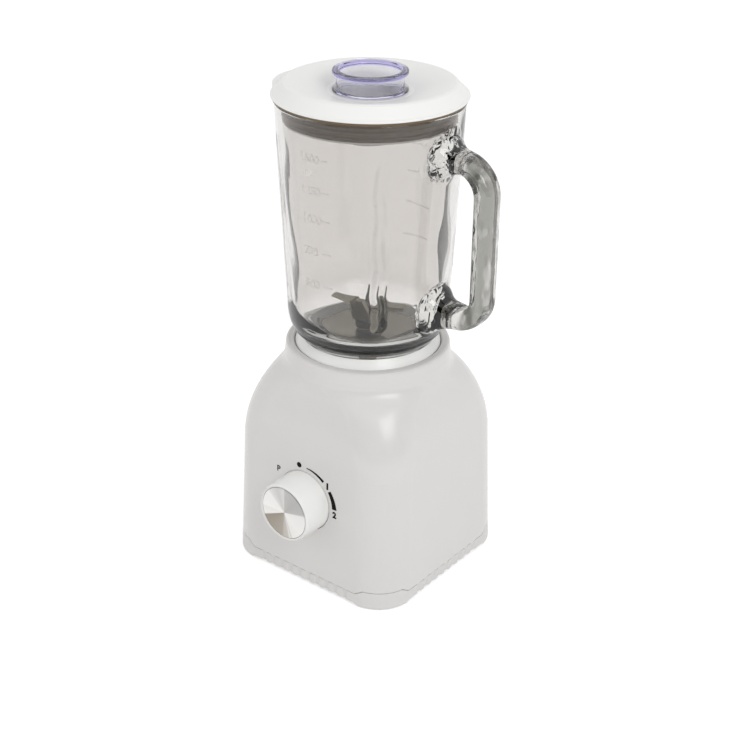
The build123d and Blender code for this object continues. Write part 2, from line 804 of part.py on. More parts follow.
def interlock_spring():
    radius = plunger_flange_radius - spring_wire
    height = spring_length - 2 * spring_wire - 0.2
    path = Helix(height / spring_turns, height, radius)
    section = Plane(path @ 0, z_dir=path % 0) * Circle(spring_wire)
    coil = sweep(section, path, is_frenet=True)
    return Pos(0, interlock_offset, microswitch_top_z + spring_wire + 0.1) * coil


def interlock_switch():
    body = block(0, interlock_offset, microswitch_z, microswitch_width, microswitch_depth, microswitch_height)
    body = chamfer(body.edges().filter_by(Axis.Y), 0.8)
    body += post(0, interlock_offset, microswitch_top_z - 1, microswitch_top_z + 1, 1.5)
    for x in (-6, 0, 6):
        body += block(x, interlock_offset, microswitch_z - 5, 3, 0.8, 5.5)
    return body


# ----------------------------------------------------------------------- jar
def jar_ring():
    """Ring that clamps the blade carrier to the jar's neck."""
    inner = neck_radius + 0.4
    collar = inner + ring_collar_wall
    lip = glass_foot_radius + 0.3
    rim_top = ring_top_z - ring_top_drop
    web = rim_top - ring_skirt
    body = revolved([
        (ring_flange_bore, jar_z), (collar, jar_z), (collar, web), (ring_radius - ring_skirt, web),
        (ring_radius - ring_skirt, jar_z), (ring_radius, jar_z), (ring_radius, rim_top - 0.8),
        (ring_radius - 0.6, rim_top), (lip + 0.4, ring_top_z), (lip, ring_top_z - 0.6),
        (inner, neck_z + neck_height), (inner, carrier_z), (ring_flange_bore, carrier_z),
    ])
    span = ring_radius - collar
    rib = block(collar + span / 2 - 0.5, 0, jar_z + 2, span, ring_rib, web - jar_z - 1.5)
    for location in PolarLocations(0, ring_ribs):
        body += location * rib
    notch = block(ring_radius - lug_reach / 2, 0, jar_z - 1, lug_reach + 3, lug_width + 1, lug_height + 1 + free_gap)
    for angle in lug_angles:
        body -= Rot(0, 0, angle) * notch
    return body


def jar_gasket():
    return ring(neck_bore_radius, neck_radius, neck_z - gasket_thickness, neck_z)


def blade_carrier():
    outer = neck_bore_radius - free_gap
    rim = carrier_top_z + carrier_dish
    inner = outer - carrier_wall
    body = revolved([
        (inner, carrier_z), (neck_radius, carrier_z), (neck_radius, carrier_z + carrier_flange),
        (outer, carrier_z + carrier_flange), (outer, rim - 1), (outer - 1, rim),
        (carrier_boss_radius + 4, carrier_top_z), (bush_radius, carrier_top_z),
        (bush_radius, carrier_top_z - carrier_boss_depth), (carrier_boss_radius, carrier_top_z - carrier_boss_depth),
        (carrier_boss_radius, carrier_top_z - carrier_wall), (inner, rim - carrier_wall - 1),
    ])
    return body


carrier_top_z = ring_top_z - 1.0
bush_low_z = carrier_top_z - carrier_boss_depth
bush_top_z = bush_low_z + bush_height


def blade_bush():
    bore = blade_shaft_radius + running_fit
    return ring(bore, bush_radius, bush_low_z, bush_top_z)


def blade_shaft():
    low = driven_z + 2
    high = stack_of_blades_z + washer_thickness + nut_height + 1.5
    shaft = disc(blade_shaft_radius, low, high)
    return chamfer(shaft.edges().group_by(Axis.Z)[-1], 0.8)


driven_z = coupling_foot + coupling_height - socket_depth + star_gap
stack_of_blades_z = blade_level + 2 * blade_thickness


def driven_coupling():
    top = driven_z + star_height
    body = star(star_core_radius, star_lobe_radius, star_lobe_centre, driven_z, top)
    body += disc(star_core_radius, top - 1, bush_low_z - free_gap)
    return body - disc(blade_shaft_radius, driven_z + 2, bush_low_z + 1)


def blade_spacer():
    return ring(blade_shaft_radius, spacer_radius, bush_top_z + free_gap, blade_level)


def blade_plate(level, angle, bends, tip_width):
    """One stamped blade: a flat hub with two arms bent up along the bends,
    given as (radius, rise) out from the hub, and ground to an edge."""
    lean = 0.62 * blade_thickness
    under = [(0, 0), (blade_bend_radius, 0)] + bends
    over = [(x - lean, z + blade_thickness) for x, z in reversed(under)]
    reach, rise = bends[-1]
    profile = make_face(Polyline(*under, *over, close=True))
    arm = extrude(Plane.XZ * profile, blade_width, both=True)
    plan = make_face(Polyline((-blade_width, blade_width / 2), (-blade_width, -blade_width / 2),
                              (blade_bend_radius + lean, -blade_width / 2), (reach + lean, -tip_width / 2 + lean / 2),
                              (reach + lean, tip_width / 2 + lean / 2), (blade_bend_radius + lean, blade_width / 2),
                              close=True))
    arm = arm & extrude(plan, 2 * rise)
    edges = arm.edges().sort_by_distance((0.8 * reach, -0.4 * blade_width, rise + blade_thickness))
    arm = chamfer(edges[0], blade_thickness - 2 * free_gap, blade_edge)
    hub = disc(blade_hub_radius, 0, blade_thickness)
    for turn in (0, 180):
        hub += Rot(0, 0, turn) * arm
    return Pos(0, 0, level) * Rot(0, 0, angle) * (hub - disc(blade_shaft_radius, -1, blade_thickness + 1))


lower_bends = [(lower_riser_out, lower_blade_rise), (lower_blade_reach, lower_blade_rise + lower_tip_lift)]
upper_bends = [(upper_blade_reach, upper_blade_rise)]


def blade_washer():
    return ring(blade_shaft_radius, washer_radius, stack_of_blades_z, stack_of_blades_z + washer_thickness)


def blade_nut():
    low = stack_of_blades_z + washer_thickness
    nut = Pos(0, 0, low) * extrude(RegularPolygon(nut_across / 2, 6, major_radius=False), nut_height)
    return nut - disc(blade_shaft_radius, low - 1, low + nut_height + 1)


def glass_curve(foot, belly, rim, foot_z, belly_z, rim_top):
    """Side of the jar: a rounded foot, then a long taper out to the rim."""
    turn = Spline((foot, foot_z), (belly, belly_z), tangents=[(1.0, 0.75), (0.045, 1)])
    side = Spline((belly, belly_z), (0.45 * belly + 0.55 * rim, 0.5 * (belly_z + rim_top)), (rim, rim_top),
                  tangents=[(0.045, 1), (0.02, 1)])
    return turn, side


def glass_body(outline):
    return revolve(Plane.XZ * make_face(outline), Axis.Z)


def glass_envelope():
    belly_z = ring_top_z + glass_belly_rise
    turn, side = glass_curve(glass_foot_radius, glass_belly_radius, glass_rim_radius,
                             ring_top_z, belly_z, rim_z)
    neck = Polyline((glass_foot_radius, ring_top_z), (neck_radius, neck_z + neck_height),
                    (neck_radius, neck_z), (0, neck_z), (0, rim_z), (glass_rim_radius, rim_z))
    return glass_body([turn, side, neck])


def glass_hollow():
    floor_z = ring_top_z + glass_floor_rise
    belly_z = ring_top_z + glass_belly_rise
    rim = glass_rim_radius - glass_wall
    turn, side = glass_curve(neck_bore_radius + 1, glass_belly_radius - glass_wall, rim,
                             floor_z, belly_z, rim_z)
    neck = Polyline((neck_bore_radius + 1, floor_z), (neck_bore_radius, floor_z - 1),
                    (neck_bore_radius, neck_z - 1), (0, neck_z - 1), (0, rim_z + 1), (rim, rim_z + 1), (rim, rim_z))
    return glass_body([turn, side, neck])


def spout_form(inset):
    """The pouring lip, drawn out of the wall towards the rim."""
    centre_top = -(spout_reach - spout_half_width)
    low_radius = 5.0
    low_x = -(glass_rim_radius - low_radius - 3.0)
    levels = (
        (rim_z - spout_rise, low_x, low_radius),
        (rim_z - 0.45 * spout_rise, 0.55 * low_x + 0.45 * centre_top, 0.5 * (low_radius + spout_half_width)),
        (rim_z, centre_top, spout_half_width),
    )
    sections = [Plane.XY.offset(z) * Pos(x, 0) * Circle(r - inset) for z, x, r in levels]
    form = loft(sections)
    if inset:
        form += post(centre_top, 0, rim_z - 0.01, rim_z + 1, spout_half_width - inset)
    return form


def handle():
    arm_x = glass_belly_radius - glass_wall / 2
    outer = make_face(Polyline((arm_x, handle_bottom), (handle_reach, handle_bottom),
                               (handle_reach, handle_top), (arm_x, handle_top), close=True))
    right = outer.vertices().group_by(Axis.X)[-1].sort_by(Axis.Y)
    outer = fillet(right[0], handle_bottom_corner)
    outer = fillet(outer.vertices().group_by(Axis.Y)[-1].sort_by(Axis.X)[-1], handle_top_corner)
    inner_x = handle_reach - handle_bar
    inner = make_face(Polyline((arm_x - 1, handle_bottom + handle_bottom_arm), (inner_x, handle_bottom + handle_bottom_arm),
                               (inner_x, handle_top - handle_top_arm), (arm_x - 1, handle_top - handle_top_arm), close=True))
    inner = fillet(inner.vertices().group_by(Axis.X)[-1], handle_inner_corner)
    loop = extrude(Plane.XZ * (outer - inner), handle_width / 2, both=True)
    rounded = loop.edges().filter_by(lambda e: abs(abs(e.center().Y) - handle_width / 2) < 0.01)
    loop = fillet(rounded.filter_by(lambda e: e.bounding_box().min.X > arm_x + 0.1
                                    or e.bounding_box().size.X > 5), handle_rounding)
    pads = []
    for middle, tall in ((handle_top - handle_top_arm / 2, handle_top_arm),
                         (handle_bottom + handle_bottom_arm / 2, handle_bottom_arm)):
        near = Plane.YZ.offset(arm_x) * Pos(0, middle) * RectangleRounded(handle_pad_width, tall + handle_pad_rise, 10)
        far = Plane.YZ.offset(handle_pad_start) * Pos(0, middle) * RectangleRounded(
            handle_width, tall, handle_rounding - 0.2)
        middle_section = Plane.YZ.offset(0.55 * arm_x + 0.45 * handle_pad_start) * Pos(0, middle) * RectangleRounded(
            0.6 * handle_width + 0.4 * handle_pad_width, tall + 5, handle_rounding + 1)
        pads.append(loft([near, middle_section, far]))
    return loop + pads[0] + pads[1]


def glass_jar():
    envelope = glass_envelope()
    hollow = glass_hollow()
    ribs = []
    for angle in (45, 135, 225, 315):
        belly = glass_belly_radius - glass_wall + flute_rib_radius - flute_rib_proud
        rim = glass_rim_radius - glass_wall + flute_rib_radius - flute_rib_proud
        low = ring_top_z + flute_rib_low
        high = ring_top_z + flute_rib_high
        lean = (rim - belly) / (glass_height - glass_belly_rise)
        spine_low = Vector(belly + lean * flute_rib_low, 0, low)
        spine_high = Vector(belly + lean * flute_rib_high, 0, high)
        length = (spine_high - spine_low).length
        rod = Plane(spine_low, z_dir=spine_high - spine_low) * Pos(0, 0, length / 2) * Cylinder(flute_rib_radius, length)
        rod += Pos(*spine_low) * Sphere(flute_rib_radius)
        rod += Pos(*spine_high) * Sphere(flute_rib_radius)
        ribs.append(Rot(0, 0, angle) * rod)
    for rib in ribs:
        hollow -= rib
    return envelope + spout_form(0) - hollow - spout_form(glass_wall - 1.4)


def jar_handle():
    """The handle, fused to the jar's wall where its two arms flare out."""
    return handle() - glass_envelope()


# ----------------------------------------------------------------------- lid
def lid():
    flat_z = lid_z + lid_crown
    ridge_z = lid_z + lid_ridge
    skirt_low = lid_z - lid_skirt_depth
    skirt_in = lid_skirt_radius - lid_skirt_wall
    core_in = lid_skirt_radius + lid_wall
    core_out = lid_radius - lid_wall
    neck_out = lid_hole_radius + lid_neck_wall
    neck_low = flat_z - lid_neck_depth
    dish = (lid_ridge - lid_crown) / (lid_ridge_radius - 3 - lid_flat_radius)
    under_skirt = flat_z + dish * (skirt_in - lid_flat_radius) - lid_wall
    body = revolved([
        (lid_hole_radius, flat_z - 0.6), (lid_hole_radius + 0.6, flat_z),
        (lid_flat_radius, flat_z), (lid_ridge_radius - 3, ridge_z - 0.4), (lid_ridge_radius, ridge_z),
        (lid_ridge_radius + 2, ridge_z - 0.7),
        (lid_radius - 1.6, lid_z + lid_rim - 0.1), (lid_radius - 0.4, lid_z + lid_rim - 0.6),
        (lid_radius, lid_z + lid_rim - 1.1), (lid_radius, lid_z + 0.3), (lid_radius - 0.3, lid_z),
        (core_out, lid_z), (core_in, ridge_z - 3 * lid_wall), (core_in, lid_z),
        (lid_skirt_radius, lid_z), (lid_skirt_radius, skirt_low + lid_skirt_toe),
        (lid_skirt_radius + 1.6, skirt_low + lid_skirt_toe), (lid_skirt_radius + 1.6, skirt_low),
        (skirt_in, skirt_low), (skirt_in, under_skirt), (lid_flat_radius, flat_z - lid_wall),
        (neck_out, flat_z - lid_wall), (neck_out, neck_low), (lid_hole_radius, neck_low),
    ])
    # The tab is drawn out of the rim, tangent to a circle that the crown covers.
    covered = Circle(lid_radius - 1.6).edges()
    tip = (Pos(lid_tab_radius - lid_tab_reach, 0) * Circle(lid_tab_radius)).edges()
    tab = extrude(Plane.XY.offset(lid_z) * make_hull(covered + tip), lid_rim - 0.3)
    tab = chamfer(tab.edges().group_by(Axis.Z)[-1], lid_tab_edge)
    tab -= disc(core_out, lid_z - 1, lid_z + lid_ridge)
    return body + tab


def lid_gasket():
    inner = lid_skirt_radius + running_fit
    outer = inner + gasket_body
    low = lid_z - lid_skirt_depth + lid_skirt_toe
    high = lid_z - gasket_flange - 1.0
    profile = [(inner, low), (outer, low)]
    step = (high - low) / gasket_lips
    for i in range(gasket_lips):
        foot = low + i * step
        profile += [(outer, foot + 0.35 * step), (outer + gasket_lip, foot + 0.55 * step),
                    (outer + gasket_lip, foot + 0.7 * step), (outer, foot + 0.9 * step)]
    edge = lid_radius - gasket_flange_inset
    profile += [(outer, lid_z - gasket_flange), (edge, lid_z - gasket_flange), (edge, lid_z - running_fit),
                (inner, lid_z - running_fit)]
    return revolved(profile)


def measuring_cap():
    seat = lid_z + lid_crown + seat_gap
    top = seat + cap_stand + cap_ring_height
    low = top - cap_height
    bore = cap_foot_radius - cap_wall
    return revolved([
        (0, low), (cap_foot_radius - 1.5, low), (cap_foot_radius, low + 1.5), (cap_body_radius, seat),
        (cap_flange_radius, seat), (cap_flange_radius, seat + cap_flange - 0.6),
        (cap_flange_radius - 0.6, seat + cap_flange), (cap_body_radius, seat + cap_flange),
        (cap_body_radius, top - cap_ring_height), (cap_ring_radius, top - cap_ring_height),
        (cap_ring_radius, top - 0.6), (cap_ring_radius - 0.6, top), (cap_ring_bore, top),
        (bore, low + cap_wall + 1.5), (bore - 1.5, low + cap_wall), (0, low + cap_wall),
    ])


# ------------------------------------------------------------------- writing
brush_right, holder_right = brush_parts(1)
brush_left, holder_left = brush_parts(-1)

pieces = {
    "motor_housing": motor_housing(),
    "bottom_tray": bottom_tray(),
    "tray_screws": tray_screws(),
    "knob": knob(),
    "knob_insert": knob_insert(),
    "switch_shaft": switch_shaft(),
    "switch_body": switch_body(),
    "switch_nut": switch_nut(),
    "cord_inlet_gland": inlet_gland(),
    "stator_core": stator_core(),
    "field_coils": field_coils(),
    "armature_core": armature_core(),
    "armature_winding": armature_winding(),
    "commutator": commutator(),
    "motor_shaft": motor_shaft(),
    "lower_bearing": bearing(lower_bearing_foot),
    "upper_bearing": bearing(upper_bearing_foot),
    "upper_motor_bracket": upper_motor_bracket(),
    "lower_motor_bracket": lower_motor_bracket(),
    "brush_holder_left": holder_left,
    "brush_holder_right": holder_right,
    "carbon_brush_left": brush_left,
    "carbon_brush_right": brush_right,
    "cooling_fan": cooling_fan(),
    "stator_bolts": stator_bolts(),
    "motor_mount_screws": mount_screws(),
    "motor_dampers": motor_dampers(),
    "drive_coupling": drive_coupling(),
    "interlock_pin": interlock_pin(),
    "interlock_spring": interlock_spring(),
    "interlock_switch": interlock_switch(),
    "jar_ring": jar_ring(),
    "jar_gasket": jar_gasket(),
    "blade_carrier": blade_carrier(),
    "blade_bush": blade_bush(),
    "blade_shaft": blade_shaft(),
    "driven_coupling": driven_coupling(),
    "blade_spacer": blade_spacer(),
    "lower_blade": blade_plate(blade_level, lower_blade_angle, lower_bends, lower_tip_width),
    "upper_blade": blade_plate(blade_level + blade_thickness, upper_blade_angle, upper_bends, upper_tip_width),
    "blade_washer": blade_washer(),
    "blade_nut": blade_nut(),
    "glass_jar": glass_jar(),
    "jar_handle": jar_handle(),
    "lid": lid(),
    "lid_gasket": lid_gasket(),
    "measuring_cap": measuring_cap(),
}
for number, (x, y) in enumerate(feet_places(), start=1):
    pieces[f"rubber_foot_{number}"] = rubber_foot(x, y)

os.makedirs("parts", exist_ok=True)
for name, shape in pieces.items():
    if isinstance(shape, list):
        shape = Compound(children=shape)
    export_step(shape, f"parts/{name}.step")
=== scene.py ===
"""Countertop blender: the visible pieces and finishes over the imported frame."""

import math

import bmesh
import bpy
from bpy.props import FloatProperty, FloatVectorProperty, IntProperty, PointerProperty
from mathutils import Matrix, Vector
from mathutils.bvhtree import BVHTree


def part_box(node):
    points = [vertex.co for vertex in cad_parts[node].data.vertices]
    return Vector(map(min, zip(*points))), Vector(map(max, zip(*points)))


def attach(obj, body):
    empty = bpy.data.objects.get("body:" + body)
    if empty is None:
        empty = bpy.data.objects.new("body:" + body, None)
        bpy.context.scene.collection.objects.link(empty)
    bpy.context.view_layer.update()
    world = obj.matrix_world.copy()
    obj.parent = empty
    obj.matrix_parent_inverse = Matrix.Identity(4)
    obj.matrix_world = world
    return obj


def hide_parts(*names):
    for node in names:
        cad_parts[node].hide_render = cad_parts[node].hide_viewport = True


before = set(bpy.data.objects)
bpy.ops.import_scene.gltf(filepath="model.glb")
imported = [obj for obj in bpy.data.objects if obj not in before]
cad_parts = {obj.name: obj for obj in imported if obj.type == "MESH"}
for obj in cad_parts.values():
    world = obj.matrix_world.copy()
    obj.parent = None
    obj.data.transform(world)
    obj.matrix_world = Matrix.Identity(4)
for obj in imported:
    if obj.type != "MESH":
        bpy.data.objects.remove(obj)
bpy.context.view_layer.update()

bl_info = {
    "name": "Countertop Blender",
    "version": (1, 0, 0),
    "blender": (4, 5, 0),
    "location": "View3D > Sidebar > Blender",
    "description": "Builds the visible pieces and finishes of a countertop blender",
    "category": "Object",
}

MM = 0.001
WHITE = (1, 1, 1, 1)
PLASTIC_IOR, GLASS_IOR, SAN_IOR = 1.5, 1.5, 1.57
CAMERA_PLACE, SENSOR_WIDTH = (0.6183, -0.7914, 0.6681), 36.0
FLOOR_HALF, FLOOR_LIFT = 3.0, 0.45
# Each lamp's name, place, side and share of the key level.
LAMPS = (("overhead softbox", (1.25, -0.5, 1.15), 0.75, 1.3), ("front softbox", (-0.7, -1.2, 0.7), 0.8, 0.3))
LAMP_TARGET = (0, 0, 0.15)
# A turned piece ends this near its axis, in millimetres.
TIP = 0.0005
# A place in Y that is clear in front of the housing.
IN_FRONT = -0.3


def linear(hex_colour):
    """An sRGB hex value as a linear colour."""
    channels = [int(hex_colour[i:i + 2], 16) / 255 for i in (1, 3, 5)]
    return tuple(c / 12.92 if c <= 0.04045 else ((c + 0.055) / 1.055) ** 2.4 for c in channels) + (1.0,)


# ------------------------------------------------------------------ settings
def length(name, description, millimetres):
    """A length that can be changed."""
    return FloatProperty(name=name, description=description, default=millimetres * MM, unit="LENGTH")


def turn_of(name, description, degrees):
    """An angle that can be changed."""
    return FloatProperty(name=name, description=description, default=math.radians(degrees), unit="ROTATION")


def colour_of(name, description, hex_colour):
    """A colour that can be changed."""
    return FloatVectorProperty(name=name, description=description, default=linear(hex_colour), size=4,
                               subtype="COLOR", min=0, max=1)


def number(name, description, default):
    """A plain number that can be changed."""
    return FloatProperty(name=name, description=description, default=default)


class JarSizes(bpy.types.PropertyGroup):
    """Sizes of the glass jar and its handle."""
    foot_radius: length("Foot radius", "Outside of the glass where it leaves the ring", 50.2)
    rim_radius: length("Rim radius", "Outside of the glass at the rim", 68.0)
    wall: length("Wall", "Thickness of the glass wall", 5.1)
    bore_radius: length("Bore radius", "Opening in the floor for the blade carrier", 38.5)
    rib_proud: length("Rib height", "Inner ribs standing in from the wall", 3.3)
    rib_half_width: length("Rib half width", "From a rib's middle to its edge", 6.4)
    spout_rise: length("Spout rise", "Height over which the pouring lip is drawn out", 38.0)
    handle_bar: length("Handle bar", "Thickness of the handle's upright bar", 14.6)
    handle_width: length("Handle width", "Width of the handle's bar", 19.0)
    segments: IntProperty(name="Segments", description="Divisions around the jar", default=300, min=48)


class MarkSizes(bpy.types.PropertyGroup):
    """Sizes of the marks on the dial and the jar."""
    dial_letter: length("Dial letter", "Height of the dial's letters", 5.0)
    scale_digit: length("Scale digit", "Height of the jar scale's numbers", 6.0)
    scale_relief: length("Scale relief", "Scale standing out from the glass", 0.16)


class FinishColours(bpy.types.PropertyGroup):
    """Colours that can be changed."""
    housing: colour_of("Housing", "Moulded ABS of the motor housing", "#DFDDDB")
    trim: colour_of("Lid and knob", "Gloss white of the lid, knob and ring", "#F6F6F4")
    cap: colour_of("Cap tint", "Tint in the depth of the clear measuring cap", "#8F86D8")
    glass: colour_of("Glass tint", "Tint in the depth of the glass", "#AEB8B2")
    glass_skin: colour_of("Glass skin", "Grey that the skin of the glass takes off", "#E2DFDD")
    # Partly painted shade: the silicone's brown-grey is darkened so that the gasket's edge stands for the
    # shadow line under the lid.
    gasket: colour_of("Lid gasket", "Silicone of the lid's gasket", "#6C5B41")


class StageSettings(bpy.types.PropertyGroup):
    """Camera, light and floor."""
    camera_heading: turn_of("Camera heading", "Turn of the view about the upright axis", 38.05)
    camera_pitch: turn_of("Camera pitch", "How far the view looks down", 27.0)
    camera_roll: turn_of("Camera roll", "Tilt of the picture", 0.532)
    lens: number("Lens", "Focal length in millimetres on a 36 mm sensor", 71.85)
    world_level: number("World level", "Even light from all round", 0.68)
    key_level: number("Key level", "Power in watts of which each lamp has a share", 5.6)


# --------------------------------------------------------------------- nodes
def add_node(tree, kind, settings=None, links=None):
    """Adds a shader node.

    A setting is an attribute of it or the value of an input. A link feeds an input from a socket, or from
    the first output of a node.
    """
    node = tree.nodes.new("ShaderNode" + kind)
    for key, value in (settings or {}).items():
        if isinstance(key, str) and key not in node.inputs:
            setattr(node, key, value)
        else:
            node.inputs[key].default_value = value
    for key, source in (links or {}).items():
        socket = source.outputs[0] if isinstance(source, bpy.types.Node) else source
        tree.links.new(socket, node.inputs[key])
    return node


def set_ends(ramp, low, high):
    """Gives a ramp its two ends, each a (position, colour)."""
    for end, (position, colour) in zip(ramp.color_ramp.elements, (low, high)):
        end.position, end.color = position, colour


def mottled_ends(ramp, colour, mottle):
    """Lets a tone drift a little darker and lighter than a colour, which is a hex value or linear."""
    middle = (linear(colour) if isinstance(colour, str) else colour)[:3]
    set_ends(ramp, (0.3, tuple(c * (1 - mottle) for c in middle) + (1,)),
             (0.7, tuple(min(1.0, c * (1 + mottle)) for c in middle) + (1,)))


def empty_tree(owner):
    """The cleared node tree of a material or a world."""
    owner.use_nodes = True
    owner.node_tree.nodes.clear()
    return owner.node_tree


def new_material(name, settings, maker, tint=None):
    """A material with one Principled surface.

    maker(tree) returns the links that feed it, and tint is the (colour, density) of its depth.
    """
    material = bpy.data.materials.new(name)
    tree = empty_tree(material)
    ends = {"Surface": add_node(tree, "BsdfPrincipled", settings, maker(tree))}
    if tint:
        ends["Volume"] = add_node(tree, "VolumeAbsorption", {"Color": tint[0], "Density": tint[1]})
    add_node(tree, "OutputMaterial", None, ends)
    return material


def moulded(name, colour, roughness, grain_mm, grain_depth_mm, mottle=0.02, extra=None):
    """Moulded plastic or rubber: a spark-eroded grain in the surface and slight shifts of tone."""
    def maker(tree):
        point = add_node(tree, "TexCoord").outputs["Object"]
        grain = add_node(tree, "TexNoise", {"Scale": 1 / (grain_mm * MM), "Detail": 2.0}, {"Vector": point})
        bump = add_node(tree, "Bump", {"Strength": 0.5, "Distance": grain_depth_mm * MM}, {"Height": grain})
        cloud = add_node(tree, "TexNoise", {"Scale": 1 / (40 * MM), "Detail": 3.0}, {"Vector": point})
        tone = add_node(tree, "ValToRGB", None, {"Fac": cloud})
        mottled_ends(tone, colour, mottle)
        wear = add_node(tree, "MapRange", {"To Min": roughness * 0.92, "To Max": roughness * 1.08},
                        {"Value": cloud})
        return {"Base Color": tone, "Normal": bump, "Roughness": wear}
    return new_material(name, {"IOR": PLASTIC_IOR, **(extra or {})}, maker)


def worked_metal(name, colour, roughness, line_mm, line_depth_mm, stretch=(1, 1, 1), mottle=0.04):
    """Worked metal: fine tool or rolling lines stretched along one axis, and stains in its tone."""
    def maker(tree):
        point = add_node(tree, "TexCoord").outputs["Object"]
        drawn = add_node(tree, "Mapping", {"Scale": stretch}, {"Vector": point})
        lines = add_node(tree, "TexNoise", {"Scale": 1 / (line_mm * MM), "Detail": 3.0}, {"Vector": drawn})
        bump = add_node(tree, "Bump", {"Strength": 0.6, "Distance": line_depth_mm * MM}, {"Height": lines})
        stain = add_node(tree, "TexNoise", {"Scale": 1 / (12 * MM), "Detail": 4.0}, {"Vector": point})
        tone = add_node(tree, "ValToRGB", None, {"Fac": stain})
        mottled_ends(tone, colour, mottle)
        gloss = add_node(tree, "MapRange", {"To Min": roughness * 0.8, "To Max": roughness * 1.2},
                         {"Value": lines})
        return {"Base Color": tone, "Normal": bump, "Roughness": gloss}
    return new_material(name, {"Metallic": 1.0}, maker)


def clear_solid(name, tint, ior, roughness, ripple_mm, ripple_depth_mm, skin=WHITE, extra=None):
    """A clear solid with a tint in its depth, a fainter one in its skin, and the ripple that a mould leaves.

    extra(tree, point) gives a height in millimetres to add to the ripple, or None, and further links.
    """
    def maker(tree):
        point = add_node(tree, "TexCoord").outputs["Object"]
        ripple = add_node(tree, "TexNoise", {"Scale": 1 / (ripple_mm * MM), "Detail": 1.0},
                          {"Vector": point})
        height = add_node(tree, "Math", {"operation": "MULTIPLY", 1: 0.4 * ripple_depth_mm}, {0: ripple})
        more, links = extra(tree, point) if extra else (None, {})
        if more:
            height = add_node(tree, "Math", {"operation": "ADD"}, {0: height, 1: more})
        bump = add_node(tree, "Bump", {"Strength": 1.0, "Distance": MM}, {"Height": height})
        return {"Normal": bump, **links}
    settings = {"Base Color": skin, "Roughness": roughness, "IOR": ior, "Transmission Weight": 1.0}
    return new_material(name, settings, maker, tint)


def pressed_handle(skin):
    """Fire-cracked ripple where the handle joins the wall, and painted shade in the skin of its bar: a
    mottled grey that stands in for dark refractions.
    """
    def maker(tree, point):
        across = add_node(tree, "SeparateXYZ", None, {"Vector": point})
        # The spans in X of the bar and of the two sides of its inner strip.
        x = across.outputs["X"]
        spans = [("bar", x, 68 * MM, 76 * MM), ("strip_out", x, 104 * MM, 98 * MM),
                 ("strip_in", x, 86 * MM, 93 * MM)]
        # The roots fade out with the distance from a point in the wall.
        for part, place, reach in (("upper", (64 * MM, 0, JAR_HIGH.z - 28 * MM), 24 * MM),
                                   ("lower", (58 * MM, 0, JAR_LOW.z + 48 * MM), 22 * MM)):
            away = add_node(tree, "VectorMath", {"operation": "DISTANCE", 1: place}, {0: point})
            spans.append((part, away.outputs["Value"], reach, 0.5 * reach))
        masks = {}
        for part, measure, start, end in spans:
            span = {"interpolation_type": "SMOOTHSTEP", "From Min": start, "From Max": end}
            masks[part] = add_node(tree, "MapRange", span, {"Value": measure})
        cracks = add_node(tree, "TexNoise",
                          {"Scale": 1 / (11 * MM), "Detail": 1.0, "Distortion": 1.2}, {"Vector": point})
        drawn = add_node(tree, "Mapping", {"Scale": (1, 1, 0.35)}, {"Vector": point})
        mottle = add_node(tree, "TexNoise", {"Scale": 1 / (8 * MM), "Detail": 2.0}, {"Vector": drawn})
        root = add_node(tree, "Math", {"operation": "MAXIMUM"}, {0: masks["upper"], 1: masks["lower"]})
        # Heights in millimetres: deep cracks at the roots, shallow mottling along the bar.
        heights = []
        for wave, mask, deep in ((cracks, root, 3.0), (mottle, masks["bar"], 0.8)):
            kept = add_node(tree, "Math", {"operation": "MULTIPLY"}, {0: wave, 1: mask})
            kept = add_node(tree, "Math", {"operation": "MULTIPLY", 1: deep}, {0: kept})
            heights.append(kept)
        relief = add_node(tree, "Math", {"operation": "ADD"}, {0: heights[0], 1: heights[1]})
        # Painted shade: the skin is greyest along the inner strip and mottled over the bar, standing in for
        # dark refractions.
        strip = add_node(tree, "Math", {"operation": "MULTIPLY"},
                         {0: masks["strip_out"], 1: masks["strip_in"]})
        grey = add_node(tree, "Math", {"operation": "MULTIPLY", 1: 0.5}, {0: strip})
        grey = add_node(tree, "Math", {"operation": "ADD"}, {0: grey, 1: mottle})
        grey = add_node(tree, "Math", {"operation": "MULTIPLY"}, {0: grey, 1: masks["bar"]})
        tone = add_node(tree, "ValToRGB", None, {"Fac": grey})
        set_ends(tone, (0.58, skin), (0.95, linear("#66665F")))
        # The skin's grey is left off the thick foot, so the foot is clearer and lighter.
        foot = add_node(tree, "MapRange", {"From Min": JAR_LOW.z + 14 * MM, "From Max": JAR_LOW.z + 34 * MM},
                        {"Value": across.outputs["Z"]})
        clear = add_node(tree, "Mix", {"data_type": "RGBA", 6: WHITE}, {0: foot, 7: tone})
        return relief, {"Base Color": clear.outputs[2]}
    return maker


def cap_skin(seat_z, ring_z, ring_tone):
    """Clear with a tinted ring, and frosted and milky below the seat."""
    def maker(tree, point):
        height = add_node(tree, "SeparateXYZ", None, {"Vector": point})
        steps = {}
        for part, top_z, low, high in (("tint", ring_z, 0.0, 1.0), ("frost", seat_z, 0.4, 0.0),
                                       ("clearness", seat_z, 0.45, 1.0)):
            steps[part] = add_node(tree, "MapRange",
                                   {"From Min": top_z - MM, "From Max": top_z, "To Min": low, "To Max": high},
                                   {"Value": height.outputs["Z"]})
        tint = add_node(tree, "ValToRGB", None, {"Fac": steps["tint"]})
        set_ends(tint, (0.0, WHITE), (1.0, ring_tone))
        return None, {"Roughness": steps["frost"], "Transmission Weight": steps["clearness"],
                      "Base Color": tint}
    return maker


